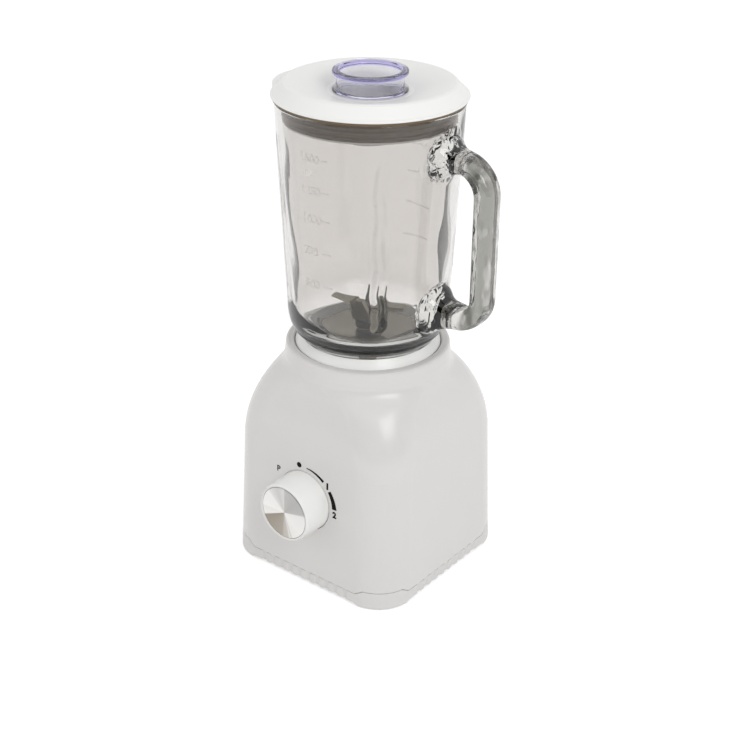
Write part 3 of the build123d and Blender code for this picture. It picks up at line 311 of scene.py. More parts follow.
def spun_disc_metal(name, centre):
    """Aluminium turned in a lathe: fine rings of grooves, and fixed light and dark sectors of painted
    reflection in its base colour.
    """
    def maker(tree):
        point = add_node(tree, "TexCoord").outputs["Object"]
        around = add_node(tree, "Tangent", {"direction_type": "RADIAL", "axis": "Y"})
        face = add_node(tree, "Mapping",
                        {"Rotation": (-math.pi / 2, 0, 0), "Location": (-centre[0], -centre[2], 0)},
                        {"Vector": point})
        fan = add_node(tree, "TexGradient", {"gradient_type": "RADIAL"}, {"Vector": face})
        painted_reflection = add_node(tree, "ValToRGB", None, {"Fac": fan.outputs["Fac"]})
        # Painted reflection: light and dark sectors in the base colour that turn with the disc, from nine
        # o'clock the way round by six, three and twelve.
        sectors = ((0.0, "#DAD9D6"), (0.058, "#DEDDDA"), (0.068, "#938B80"), (0.15, "#9B948A"),
                   (0.235, "#A39D94"), (0.245, "#B3AEA7"), (0.285, "#BBB7B1"), (0.297, "#D8D6D2"),
                   (0.308, "#C2BFBA"), (0.32, "#DCDAD7"), (0.40, "#E2E1DF"), (0.53, "#DAD9D7"),
                   (0.545, "#B0AFAD"), (0.63, "#A9A8A6"), (0.735, "#B3B2B0"), (0.75, "#CCCBC9"),
                   (0.80, "#C0BFBD"), (0.865, "#D2D1CF"), (0.88, "#E2E1DF"), (1.0, "#E4E3E1"))
        set_ends(painted_reflection, *[(turn, linear(tone)) for turn, tone in (sectors[0], sectors[-1])])
        for turn, tone in sectors[1:-1]:
            painted_reflection.color_ramp.elements.new(turn).color = linear(tone)
        rings = add_node(tree, "TexWave",
                         {"wave_type": "RINGS", "rings_direction": "Z", "Scale": 1 / (1.6 * MM),
                          "Distortion": 0.4, "Detail": 2.0}, {"Vector": face})
        bump = add_node(tree, "Bump", {"Strength": 0.1, "Distance": 0.02 * MM},
                        {"Height": rings.outputs["Fac"]})
        return {"Base Color": painted_reflection, "Normal": bump, "Tangent": around}
    return new_material(name, {"Metallic": 1.0, "Roughness": 0.34, "Anisotropic": 0.6}, maker)


# --------------------------------------------------------------------- meshes
def mesh_object(name, vertices, faces, material):
    """A smooth mesh with one material, linked to the scene."""
    mesh = bpy.data.meshes.new(name)
    mesh.from_pydata(vertices, [], faces)
    mesh.materials.append(material)
    mesh.validate()
    mesh.update()
    made = bpy.data.objects.new(name, mesh)
    bpy.context.scene.collection.objects.link(made)
    shade(made, True)
    return made


def grid_faces(rows, columns, close_rows=False):
    """Faces of a grid of vertices laid out row by row, closed round each row."""
    faces = []
    for i in range(rows if close_rows else rows - 1):
        here, there = i * columns, (i + 1) % rows * columns
        for j in range(columns):
            beside = (j + 1) % columns
            faces.append((here + j, here + beside, there + beside, there + j))
    return faces


def stepped_off(*points):
    """Profile points from (radius, step, height, step), the steps in millimetres."""
    return [(r + dr * MM, z + dz * MM) for r, dr, z, dz in points]


def eased(t):
    """From 0 to 1 with a soft start and end."""
    t = min(1.0, max(0.0, t))
    return t * t * (3 - 2 * t)


def flowing(points, steps):
    """A smooth line through the points, evenly divided between each two."""
    line = []
    for i in range(len(points) - 1):
        a, b = Vector(points[max(i - 1, 0)]), Vector(points[i])
        c, d = Vector(points[i + 1]), Vector(points[min(i + 2, len(points) - 1)])
        for k in range(steps):
            t = k / steps
            line.append(0.5 * ((2 * b) + (c - a) * t + (2 * a - 5 * b + 4 * c - d) * t * t
                               + (3 * b - a - 3 * c + d) * t ** 3))
    line.append(Vector(points[-1]))
    return line


def turned(name, profile, material, segments, axis="Z", centre=(0, 0, 0)):
    """A piece turned about an axis from a closed profile of (radius, along) points."""
    vertices = []
    for radius, along in profile:
        for j in range(segments):
            angle = 2 * math.pi * j / segments
            x, y = radius * math.cos(angle), radius * math.sin(angle)
            point = (x, y, along) if axis == "Z" else (x, along, y)
            vertices.append(Vector(centre) + Vector(point))
    return point_outwards(mesh_object(name, vertices, grid_faces(len(profile), segments, True), material))


def point_outwards(made):
    """Closes seams between vertices and turns the faces outwards."""
    work = bmesh.new()
    work.from_mesh(made.data)
    bmesh.ops.remove_doubles(work, verts=work.verts, dist=1e-6)
    bmesh.ops.recalc_face_normals(work, faces=work.faces)
    if work.calc_volume(signed=True) < 0:
        bmesh.ops.reverse_faces(work, faces=work.faces)
    work.to_mesh(made.data)
    work.free()
    return made


def shade(made, smooth):
    """Smooth or flat shading of the whole piece."""
    made.data.polygons.foreach_set("use_smooth", [smooth] * len(made.data.polygons))


def apply_modifier(made, modifier):
    """Makes a modifier's result the mesh, and shades it smooth."""
    bpy.context.view_layer.objects.active = made
    bpy.ops.object.modifier_apply(modifier=modifier.name)
    shade(made, True)


def seat(made, body, slot, *nodes):
    """The piece rides on a body and stands for the CAD nodes, which it hides. The slot is not used."""
    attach(made, body)
    if nodes:
        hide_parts(*nodes)


JAR_LOW, JAR_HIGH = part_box("glass_jar")
HANDLE_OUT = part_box("jar_handle")[1].x
# Half the spout's opening in degrees, where it starts and what it gains up to the rim.
SPOUT_NARROW, SPOUT_SPREAD = 13, 9
# Each inner rib's place in degrees and its shares of the ribs' height and half width.
RIBS = ((45, 1.0, 0.72), (135, 0.7, 1.0), (225, 1.0, 0.72), (315, 0.7, 1.0))


# ----------------------------------------------------------------------- jar
def wall_line(sizes):
    """The outer side of the jar as (radius, height) from the neck to the rim."""
    foot, foot_z = sizes.foot_radius, JAR_LOW.z + 13.7 * MM
    rim, rim_z = sizes.rim_radius, JAR_HIGH.z
    flow = stepped_off((foot, 0, foot_z, 0), (foot, 3.3, foot_z, 3.4), (foot, 6.9, foot_z, 8.0),
                       (foot, 9.2, foot_z, 13.5), (foot, 10.5, foot_z, 21), (foot, 11.2, foot_z, 34),
                       (foot, 12.4, foot_z, 58), (foot, 14.0, foot_z, 92), (rim, -1.6, rim_z, -46),
                       (rim, -0.2, rim_z, -8), (rim, 0, rim_z, -1.8))
    return [tuple(p) for p in flowing(flow, 9)]


def spout_pull(angle, z, sizes):
    """How far the pouring lip draws the wall out towards -X."""
    high = JAR_HIGH.z
    reach = -JAR_LOW.x - sizes.rim_radius
    off = abs(math.atan2(math.sin(angle - math.pi), math.cos(angle - math.pi)))
    rise = min(1.0, max(0.0, (z - high + sizes.spout_rise) / sizes.spout_rise))
    half = math.radians(SPOUT_NARROW + SPOUT_SPREAD * rise)
    if off >= half or rise <= 0:
        return 0.0
    return reach * rise ** 1.6 * math.cos(0.5 * math.pi * off / half) ** 2


def rib_swell(angle, z, radius, sizes):
    """How far an inner rib stands in from the wall."""
    low, high = JAR_LOW.z + 43 * MM, JAR_HIGH.z - 34 * MM
    swell = 0.0
    for rib, proud, half_width in RIBS:
        middle = math.radians(rib + 0.8 * math.sin(170 * z + rib) + 0.5 * math.sin(410 * z))
        turn = math.atan2(math.sin(angle - middle), math.cos(angle - middle))
        along = max(low - z, z - high, 0.0)
        away = math.hypot(turn * radius, along)
        half_width = half_width * sizes.rib_half_width
        if away < half_width:
            swell += proud * sizes.rib_proud * math.cos(0.5 * math.pi * away / half_width) ** 2
    return swell


def pressed_wave(angle, z):
    """The slight unevenness of a pressed glass wall."""
    return 0.10 * MM * (math.sin(5 * angle + 38 * z) + math.sin(9 * angle - 61 * z + 1.3)
                        + 0.6 * math.sin(14 * angle + 95 * z + 2.1))


def jar_shell(sizes, material):
    """The jar turned from its profile, with the spout drawn out and the ribs standing in."""
    low, high, bore = JAR_LOW.z, JAR_HIGH.z, sizes.bore_radius
    outer = wall_line(sizes)
    neck, rim_round, rim_steps = 46.0 * MM, 1.8 * MM, 6
    foot_rows = stepped_off((neck, -0.6, low, 0), (neck, 0, low, 0.6), (neck, 0, low, 9.6),
                            (neck, 0.8, low, 10.6))
    rows = [(r, z, "neck") for r, z in foot_rows]
    rows += [(r, z, "out") for r, z in outer]
    rim, inner_rim = sizes.rim_radius, sizes.rim_radius - sizes.wall
    for k in range(1, rim_steps):
        a = math.pi / 2 * k / rim_steps
        rows.append((rim - rim_round * (1 - math.cos(a)), high - rim_round * (1 - math.sin(a)), "rim"))
    for k in range(rim_steps):
        a = math.pi / 2 * k / rim_steps
        rows.append((inner_rim + rim_round * (1 - math.sin(a)), high - rim_round * (1 - math.cos(a)), "rim"))
    floor_z = low + 18.7 * MM
    inside = [(r - sizes.wall, z) for r, z in outer if z > floor_z + 26 * MM]
    floor_flow = stepped_off((bore, 1.4, floor_z, 0), (bore, 6.5, floor_z, 3.2), (bore, 11.5, floor_z, 8.0),
                             (bore, 15, floor_z, 14.5), (bore, 16.9, floor_z, 21)) + [inside[0]]
    rows += [(r, z, "in") for r, z in reversed(inside)]
    rows += [(r, z, "in") for r, z in reversed(flowing(floor_flow, 7)[:-1])]
    bore_rows = stepped_off((bore, 0, floor_z, -1.2), (bore, 0, low, 0.5), (bore, 0.5, low, 0))
    rows += [(r, z, "neck") for r, z in bore_rows]
    vertices = []
    for radius, z, part in rows:
        for j in range(sizes.segments):
            angle = 2 * math.pi * j / sizes.segments
            r = radius
            if part != "neck":
                r += spout_pull(angle, z, sizes)
            if part == "in":
                r -= rib_swell(angle, z, radius, sizes)
                r += pressed_wave(angle, z) * eased((z - floor_z) / (12 * MM))
            vertices.append((r * math.cos(angle), r * math.sin(angle), z))
    faces = grid_faces(len(rows), sizes.segments, True)
    return point_outwards(mesh_object("jar_glass", vertices, faces, material))


def wall_radius(z, line):
    """Outer radius of the jar's wall at a height, from its side line."""
    for a, b in zip(line, line[1:]):
        if a[1] <= z <= b[1]:
            t = (z - a[1]) / (b[1] - a[1])
            return a[0] + t * (b[0] - a[0])
    return line[0][0] if z < line[0][1] else line[-1][0]


def handle_loop(sizes, material):
    """The handle as one rounded bar swept round its loop, flared where it meets the wall."""
    side = wall_line(sizes)
    middle_x = HANDLE_OUT - sizes.handle_bar / 2
    top_z, bottom_z = JAR_HIGH.z - 30.2 * MM, JAR_LOW.z + 49 * MM
    top_turn, bottom_turn, sunk = 22 * MM, 18 * MM, 0.3 * MM
    arm_steps, bend_steps, columns, squareness = 17, 24, 56, 0.62
    top_start, bottom_start = wall_radius(top_z, side) - sunk, wall_radius(bottom_z, side) - sunk
    # The centres of the bar's two bends.
    top_x, bottom_x = middle_x - top_turn, middle_x - bottom_turn
    upper, lower = top_z - top_turn, bottom_z + bottom_turn
    # Each station is (x, z, heading), from the wall over the upper arm and the bar to the wall again.
    stations = [(top_start, top_z, 0.0)]
    for k in range(arm_steps):
        stations.append((top_start + (top_x - top_start) * k / arm_steps, top_z, 0.0))
    for k in range(bend_steps + 1):
        a = math.pi / 2 * k / bend_steps
        stations.append((top_x + top_turn * math.sin(a), upper + top_turn * math.cos(a), a))
    for k in range(1, bend_steps):
        stations.append((middle_x, upper + (lower - top_z + top_turn) * k / bend_steps, math.pi / 2))
    for k in range(bend_steps + 1):
        a = math.pi / 2 + math.pi / 2 * k / bend_steps
        stations.append((bottom_x + bottom_turn * math.sin(a), lower + bottom_turn * math.cos(a), a))
    for k in range(1, arm_steps + 1):
        x = bottom_x + (bottom_start - middle_x + bottom_turn) * k / arm_steps
        stations.append((x, bottom_z, math.pi))
    stations.append((bottom_start, bottom_z, math.pi))
    vertices = []
    last = len(stations) - 1
    for i, (x, z, a) in enumerate(stations):
        share = i / last
        start, swell = (top_start, 0.7 * MM) if share < 0.5 else (bottom_start, 3.2 * MM)
        near = 0.0 if 0.25 <= share <= 0.75 else eased(1 - (x - start) / (20 * MM))
        thick = sizes.handle_bar / 2 + swell * eased(1 - (x - 66 * MM) / (32 * MM))
        half_in_plane = thick + 6.5 * MM * near ** 2
        half_across = sizes.handle_width / 2 + 9.0 * MM * near ** 2
        for j in range(columns):
            turn = 2 * math.pi * j / columns
            c, s = math.cos(turn), math.sin(turn)
            across = half_across * math.copysign(abs(c) ** squareness, c)
            out = half_in_plane * math.copysign(abs(s) ** squareness, s)
            px, pz = x + out * math.sin(a), z + out * math.cos(a)
            if i in (0, last):
                # The ends follow the wall and stay inside its thickness.
                px = math.sqrt(max(1e-6, (wall_radius(pz, side) - 0.45 * sizes.wall) ** 2 - across ** 2))
            vertices.append((px, across, pz))
    faces = grid_faces(len(stations), columns)
    faces += [tuple(range(columns)), tuple(range(last * columns, (last + 1) * columns))]
    return point_outwards(mesh_object("jar_handle_form", vertices, faces, material))


def join_glass(shell, loop):
    """The handle fused to the jar as one piece of glass."""
    fuse = shell.modifiers.new("fuse", "BOOLEAN")
    fuse.operation, fuse.object, fuse.solver = "UNION", loop, "EXACT"
    apply_modifier(shell, fuse)
    bpy.data.objects.remove(loop)


# A capital's height as a share of the font's size.
CAPITAL_SHARE = 0.72


def text_mesh(words, height, relief, align="CENTER", bold=0.0):
    """Vertices and faces of raised lettering in its own plane."""
    curve = bpy.data.curves.new("lettering", "FONT")
    curve.offset = bold
    curve.body, curve.size, curve.extrude, curve.resolution_u = words, height / CAPITAL_SHARE, relief, 3
    curve.align_x, curve.align_y = align, "CENTER"
    holder = bpy.data.objects.new("lettering", curve)
    bpy.context.scene.collection.objects.link(holder)
    bpy.context.view_layer.update()
    mesh = bpy.data.meshes.new_from_object(holder.evaluated_get(bpy.context.evaluated_depsgraph_get()))
    vertices = [v.co.copy() for v in mesh.vertices]
    faces = [tuple(p.vertices) for p in mesh.polygons]
    bpy.data.objects.remove(holder)
    bpy.data.curves.remove(curve)
    bpy.data.meshes.remove(mesh)
    return vertices, faces


def bar_mesh(x0, x1, y0, y1, relief, steps):
    """Vertices and faces of a raised bar, divided along its length so that it can follow a curve."""
    vertices, faces = [], []
    for i in range(steps + 1):
        x = x0 + (x1 - x0) * i / steps
        vertices += [Vector((x, y, z)) for y, z in ((y0, -relief), (y1, -relief), (y1, relief), (y0, relief))]
    for i in range(steps):
        a, b = 4 * i, 4 * (i + 1)
        faces += [(a + k, a + (k + 1) % 4, b + (k + 1) % 4, b + k) for k in range(4)]
    faces += [(3, 2, 1, 0), tuple(4 * steps + k for k in range(4))]
    return vertices, faces


def gather(parts):
    """One list of vertices and faces from several."""
    vertices, faces = [], []
    for part_vertices, part_faces in parts:
        start = len(vertices)
        vertices += part_vertices
        faces += [tuple(start + i for i in face) for face in part_faces]
    return vertices, faces


def moved(part, x, y):
    """A part of vertices and faces shifted in its own plane."""
    return [v + Vector((x, y, 0)) for v in part[0]], part[1]


# ----------------------------------------------------------------- operators
class BLENDER_OT_stage(bpy.types.Operator):
    """Camera, lamps, world and floor"""
    bl_idname = "countertop_blender.stage"
    bl_label = "Stage"

    def execute(self, context):
        stage = context.scene.blender_stage
        scene = context.scene
        scene.view_settings.view_transform = "Standard"

        camera_data = bpy.data.cameras.new("camera")
        camera_data.lens, camera_data.sensor_width = stage.lens, SENSOR_WIDTH
        camera = bpy.data.objects.new("camera", camera_data)
        scene.collection.objects.link(camera)
        turn = (Matrix.Rotation(stage.camera_heading, 4, "Z")
                @ Matrix.Rotation(math.pi / 2 - stage.camera_pitch, 4, "X")
                @ Matrix.Rotation(stage.camera_roll, 4, "Z"))
        camera.matrix_world = Matrix.Translation(CAMERA_PLACE) @ turn
        scene.camera = camera

        corners = [(x * FLOOR_HALF, y * FLOOR_HALF, 0) for x, y in ((-1, -1), (1, -1), (1, 1), (-1, 1))]
        floor = mesh_object("floor", corners, [(0, 1, 2, 3)], self.floor_paint())
        self.world(scene, stage.world_level)
        for name, place, side, share in LAMPS:
            self.lamp(name, place, side, stage.key_level * share)
        return {"FINISHED"}

    def floor_paint(self):
        """Matt pale floor; direct and mirrored looks at it are lifted to white, and it keeps the shadow."""
        material = bpy.data.materials.new("matt pale backdrop paper")
        tree = empty_tree(material)
        point = add_node(tree, "TexCoord").outputs["Object"]
        pulp = add_node(tree, "TexNoise", {"Scale": 1 / (25 * MM), "Detail": 3.0}, {"Vector": point})
        tone = add_node(tree, "ValToRGB", None, {"Fac": pulp})
        set_ends(tone, (0.0, linear("#EDEDED")), (1.0, linear("#F2F2F2")))
        matt = add_node(tree, "BsdfDiffuse", None, {"Color": tone})
        path = add_node(tree, "LightPath")
        seen = add_node(tree, "Math", {"operation": "MAXIMUM"},
                        {0: path.outputs["Is Camera Ray"], 1: path.outputs["Is Glossy Ray"]})
        seen = add_node(tree, "Math", {"operation": "MAXIMUM"},
                        {0: seen, 1: path.outputs["Is Transmission Ray"]})
        lift = add_node(tree, "Math", {"operation": "MULTIPLY", 1: FLOOR_LIFT}, {0: seen})
        glow = add_node(tree, "Emission", {"Color": WHITE}, {"Strength": lift})
        both = add_node(tree, "AddShader", None, {0: matt, 1: glow})
        add_node(tree, "OutputMaterial", None, {"Surface": both})
        return material

    def world(self, scene, level):
        """Even soft light; direct looks see white, mirrored and refracted ones see a darker side."""
        scene.world = bpy.data.worlds.new("studio")
        tree = empty_tree(scene.world)
        place = add_node(tree, "TexCoord")
        across = add_node(tree, "VectorMath", {"operation": "DOT_PRODUCT", 1: (0.62, -0.78, 0)},
                          {0: place.outputs["Generated"]})
        front = add_node(tree, "MapRange", {"From Min": 0.0, "From Max": 0.55},
                         {"Value": across.outputs["Value"]})
        point = add_node(tree, "SeparateXYZ", None, {"Vector": place.outputs["Generated"]})
        level_look = add_node(tree, "MapRange", {"From Min": 0.75, "From Max": 0.45},
                              {"Value": point.outputs["Z"]})
        dark = add_node(tree, "Math", {"operation": "MULTIPLY"}, {0: front, 1: level_look})
        room = add_node(tree, "ValToRGB", None, {"Fac": dark})
        set_ends(room, (0.0, WHITE), (1.0, linear("#47463F")))
        path = add_node(tree, "LightPath")
        mirrored = add_node(tree, "Math", {"operation": "MAXIMUM"},
                            {0: path.outputs["Is Glossy Ray"], 1: path.outputs["Is Transmission Ray"]})
        straight = add_node(tree, "Math", {"operation": "LESS_THAN", 1: 0.5},
                            {0: path.outputs["Diffuse Depth"]})
        mirrored = add_node(tree, "Math", {"operation": "MULTIPLY"}, {0: mirrored, 1: straight})
        plain = add_node(tree, "Background", {"Color": WHITE, "Strength": level})
        studio = add_node(tree, "Background", {"Strength": 1.0}, {"Color": room})
        white = add_node(tree, "Background", {"Color": WHITE, "Strength": 1.0})
        lit = add_node(tree, "MixShader", None, {0: mirrored, 1: plain, 2: studio})
        shown = add_node(tree, "MixShader", None, {0: path.outputs["Is Camera Ray"], 1: lit, 2: white})
        add_node(tree, "OutputWorld", None, {"Surface": shown})

    def lamp(self, name, place, side, power):
        """A square lamp that points at the object."""
        data = bpy.data.lights.new(name, "AREA")
        data.shape, data.size, data.energy = "SQUARE", side, power
        lamp = bpy.data.objects.new(name, data)
        bpy.context.scene.collection.objects.link(lamp)
        lamp.location = place
        lamp.rotation_euler = (Vector(LAMP_TARGET) - Vector(place)).to_track_quat("-Z", "Y").to_euler()


class BLENDER_OT_finishes(bpy.types.Operator):
    """Finishes of the pieces that keep their own form"""
    bl_idname = "countertop_blender.finishes"
    bl_label = "Finishes"

    def execute(self, context):
        colours = context.scene.blender_colours
        finishes = {
            # ABS from a spark-eroded mould: an even satin with a soft, wide highlight.
            ("motor_housing",): moulded("satin white ABS", colours.housing, 0.25, 0.6, 0.006, 0.006),
            ("bottom_tray",): moulded("matt white ABS", colours.housing, 0.5, 0.5, 0.02, 0.008),
            # ABS from a polished mould: white with a clear highlight.
            ("knob",): moulded("gloss white ABS", colours.trim, 0.22, 6.0, 0.02, 0.004),
            ("jar_ring",): moulded("gloss white polypropylene ring", colours.trim, 0.3, 6.0, 0.02, 0.004),
            ("lid",): moulded("satin white polypropylene lid", colours.trim, 0.34, 4.0, 0.02, 0.004),
            ("blade_carrier",): worked_metal("polished stainless steel", "#8E8B82", 0.14, 3.0, 0.01),
            ("switch_body", "switch_nut", "interlock_switch", "switch_shaft", "cord_inlet_gland"):
                moulded("black moulded PBT", "#2B2B2D", 0.45, 0.4, 0.02),
            # Partly painted shade: the silicone's brown-grey is darkened so that the gasket's edge stands for
            # the shadow line under the lid.
            ("lid_gasket",): moulded("brown-grey silicone", colours.gasket, 0.42, 1.5, 0.03, 0.03),
            ("jar_gasket", "motor_dampers"): moulded("white silicone", "#E2E0DA", 0.5, 1.0, 0.03),
            ("rubber_foot_1", "rubber_foot_2", "rubber_foot_3", "rubber_foot_4"):
                moulded("white thermoplastic rubber", "#D9D8D4", 0.6, 0.8, 0.03),
            ("drive_coupling",): moulded("black nitrile rubber", "#242426", 0.6, 0.8, 0.04),
            ("driven_coupling", "tray_screws", "motor_mount_screws", "stator_bolts"):
                worked_metal("zinc-plated steel", "#B9BBBC", 0.32, 0.6, 0.01),
            ("interlock_spring",): worked_metal("drawn spring steel", "#8D8F92", 0.3, 0.4, 0.01),
            ("interlock_pin",): moulded("natural nylon", "#D8D4C8", 0.4, 0.6, 0.02),
            ("lower_bearing", "upper_bearing"):
                worked_metal("ground bearing steel", "#A9ACAF", 0.2, 0.5, 0.004),
            ("motor_shaft", "blade_shaft"):
                worked_metal("turned dark steel", "#6F7073", 0.28, 0.5, 0.01, (1, 1, 6)),
            ("lower_blade", "upper_blade"):
                worked_metal("stamped stainless blade steel", "#8F8C7E", 0.3, 1.0, 0.012),
            ("blade_spacer",): worked_metal("blackened steel hub", "#3D3A32", 0.3, 0.5, 0.01, (1, 1, 6)),
            ("blade_washer",): worked_metal("dark spring washer steel", "#4A4843", 0.3, 0.5, 0.01),
            ("blade_nut",): worked_metal("stainless nut steel", "#97948A", 0.26, 0.8, 0.01),
            ("stator_core", "armature_core"):
                worked_metal("lamination steel", "#5D6064", 0.45, 0.5, 0.03, (1, 1, 40)),
            ("field_coils", "armature_winding"):
                worked_metal("enamelled copper wire", "#8A4A2B", 0.3, 0.8, 0.05, (1, 1, 8)),
            ("commutator",): worked_metal("commutator copper", "#B8744A", 0.28, 0.6, 0.01, (1, 1, 10)),
            ("upper_motor_bracket", "lower_motor_bracket"):
                worked_metal("die-cast aluminium", "#9C9EA0", 0.5, 1.2, 0.05),
            ("blade_bush",): worked_metal("sintered bronze", "#8B6F47", 0.45, 0.3, 0.02),
            ("brush_holder_left", "brush_holder_right"):
                worked_metal("brass sheet", "#B59A5A", 0.3, 0.8, 0.01),
            ("carbon_brush_left", "carbon_brush_right"): moulded("pressed carbon", "#26262A", 0.7, 0.3, 0.02),
            ("cooling_fan",): moulded("grey nylon fan", "#4B4D50", 0.5, 0.5, 0.02),
        }
        left = {n for n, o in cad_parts.items() if not o.hide_render}
        for nodes, material in finishes.items():
            for node in nodes:
                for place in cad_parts[node].material_slots:
                    place.material = material
                left.discard(node)
        if left - {"glass_jar", "jar_handle", "measuring_cap", "knob_insert"}:
            raise RuntimeError(f"no finish for {sorted(left)}")
        return {"FINISHED"}


class BLENDER_OT_jar(bpy.types.Operator):
    """The glass jar with its spout, inner ribs and handle"""
    bl_idname = "countertop_blender.jar"
    bl_label = "Glass jar"

    def execute(self, context):
        sizes = context.scene.blender_jar
        # Pressed soda-lime glass: clear, with a grey-green tint in its depth and a grey one in its skin.
        tint, skin = (context.scene.blender_colours.glass, 9.0), context.scene.blender_colours.glass_skin
        glass = clear_solid("pressed soda-lime glass", tint, GLASS_IOR, 0.0, 30, 0.05, skin,
                            pressed_handle(skin))
        shell = jar_shell(sizes, glass)
        join_glass(shell, handle_loop(sizes, glass))
        seat(shell, "jar", "clear_glass", "glass_jar", "jar_handle")
        return {"FINISHED"}


class BLENDER_OT_scale(bpy.types.Operator):
    """Raised scale on the front of the jar, and its ticks on the back"""
    bl_idname = "countertop_blender.scale"
    bl_label = "Jar scale"

    def execute(self, context):
        sizes, marks = context.scene.blender_jar, context.scene.blender_marks
        top = JAR_HIGH.z
        side = wall_line(sizes)
        # Where the front scale and the rear ticks start round the jar, in degrees.
        front, rear, half_tick = -97, 79, 0.5 * MM
        parts = []
        for drop, words in ((27.7, "1500"), (51.2, "1250"), (72.2, "1000"), (97.2, "750"), (122.7, "500")):
            z = top - drop * MM
            digits = text_mesh(words, marks.scale_digit, marks.scale_relief, "LEFT", 0.12 * MM)
            parts.append((moved(digits, 0, z), front))
            for start, end, steps, turn in ((16 * MM, 23 * MM, 10, front), (0, 22 * MM, 20, rear)):
                tick = bar_mesh(start, end, z - half_tick, z + half_tick, marks.scale_relief, steps)
                parts.append((tick, turn))
        unit = text_mesh("ml", marks.scale_digit * 0.9, marks.scale_relief, "LEFT")
        parts.append((moved(unit, 4 * MM, top - 38 * MM), front))
        wrapped = []
        for (vertices, faces), start in parts:
            ring = []
            for v in vertices:
                radius = wall_radius(v.y, side)
                angle = math.radians(start) + v.x / radius
                radius += 0.05 * MM + marks.scale_relief + v.z
                ring.append(Vector((radius * math.cos(angle), radius * math.sin(angle), v.y)))
            wrapped.append((ring, faces))
        # The same glass as the jar, in fine relief with a softer skin.
        glass = clear_solid("pressed glass lettering", (linear("#AEB8B2"), 22.0), GLASS_IOR, 0.08, 10, 0.02,
                            linear("#F2F1F0"))
        made = mesh_object("jar_scale", *gather(wrapped), glass)
        shade(made, False)
        seat(made, "jar", "clear_glass")
        return {"FINISHED"}


class BLENDER_OT_dial(bpy.types.Operator):
    """Printed marks round the dial"""
    bl_idname = "countertop_blender.dial"
    bl_label = "Dial marks"

    def execute(self, context):
        marks = context.scene.blender_marks
        low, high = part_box("knob")
        centre = Vector(((low.x + high.x) / 2, 0, (low.z + high.z) / 2 + 0.5 * MM))
        parts = []
        # Each letter's turn clockwise from the top in degrees, its distance and its boldness in millimetres.
        for words, clock, radius, bold in (("P", -56, 31, 0.14), ("1", 49, 29.6, 0.5), ("2", 95, 29.8, 0.35)):
            a = math.radians(clock)
            parts.append(moved(text_mesh(words, marks.dial_letter, 0.01 * MM, "CENTER", bold * MM),
                               radius * MM * math.sin(a), radius * MM * math.cos(a)))
        dot_turn, dot_radius, dot_out, dot_sides = math.radians(-10.6), 2.2 * MM, 28.6 * MM, 32
        rim = []
        for k in range(dot_sides):
            a = 2 * math.pi * k / dot_sides
            rim.append(Vector((dot_radius * math.cos(a) + dot_out * math.sin(dot_turn),
                               dot_radius * math.sin(a) + dot_out * math.cos(dot_turn), 0)))
        parts.append((rim, [tuple(range(dot_sides))]))
        # The two arcs run clockwise between angles in degrees and widen from thin to thick in millimetres.
        arc_radius, arc_steps = 27.4 * MM, 24
        for start, end, thin, thick in ((4, 40, 0.8, 2.4), (57, 86, 3.0, 4.3)):
            vertices = []
            for k in range(arc_steps + 1):
                a = math.radians(start + (end - start) * k / arc_steps)
                wide = (thin + (thick - thin) * k / arc_steps) * MM
                for radius in (arc_radius, arc_radius + wide):
                    vertices.append(Vector((radius * math.sin(a), radius * math.cos(a), 0)))
            parts.append((vertices, [(2 * k, 2 * k + 1, 2 * k + 3, 2 * k + 2) for k in range(arc_steps)]))
        vertices, faces = gather(parts)
        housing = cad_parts["motor_housing"]
        tree = BVHTree.FromObject(housing, bpy.context.evaluated_depsgraph_get())
        laid = []
        for v in vertices:
            start = Vector((centre.x + v.x, IN_FRONT, centre.z + v.y))
            hit = tree.ray_cast(start, Vector((0, 1, 0)))[0]
            if hit is None:
                raise RuntimeError("a dial mark misses the housing")
            laid.append(Vector((start.x, hit.y - 0.1 * MM, start.z)))
        # Pad-printed ink: flat black with a slight sheen.
        ink = moulded("pad-printed black ink", "#0C0C0E", 0.5, 0.3, 0.004, extra={"Specular IOR Level": 0.1})
        made = mesh_object("dial_marks", laid, faces, ink)
        shade(made, False)
        seat(made, "base", "dark_switch_plastic")
        return {"FINISHED"}


class BLENDER_OT_knob_disc(bpy.types.Operator):
    """Spun metal disc in the knob's face"""
    bl_idname = "countertop_blender.knob_disc"
    bl_label = "Knob disc"

    def execute(self, context):
        low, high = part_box("knob_insert")
        edge = (high.x - low.x) / 2
        radius = edge - 1.35 * MM
        centre = ((low.x + high.x) / 2, 0, (low.z + high.z) / 2)
        dish_edge, dish_depth, dish_steps = radius - 0.8 * MM, 0.75, 12
        profile = stepped_off((0, TIP, high.y, 0), (radius, 0, high.y, 0), (radius, 0, low.y, 0.4),
                              (radius, -0.3, low.y, 0.1), (radius, -0.8, low.y, 0.05))
        for k in range(1, dish_steps + 1):
            share = k / dish_steps
            profile.append((dish_edge * (1 - share) + TIP * MM * share,
                            low.y + (0.05 + dish_depth * share) * MM))
        disc = turned("knob_disc", profile, spun_disc_metal("spun aluminium", centre), 128, "Y", centre)
        seat(disc, "dial", "spun_aluminium", "knob_insert")
        # ABS from a polished mould: the knob's white lip round the disc.
        lip_profile = stepped_off((radius, 0.3, high.y, 0), (edge, 0, high.y, 0), (edge, 0, low.y, 0.3),
                                  (edge, -0.3, low.y, 0), (radius, 0.6, low.y, 0), (radius, 0.3, low.y, 0.3))
        white = moulded("polished white ABS lip", context.scene.blender_colours.trim, 0.22, 6.0, 0.02, 0.004)
        lip = turned("knob_lip", lip_profile, white, 128, "Y", centre)
        seat(lip, "dial", "white_knob_plastic")
        return {"FINISHED"}


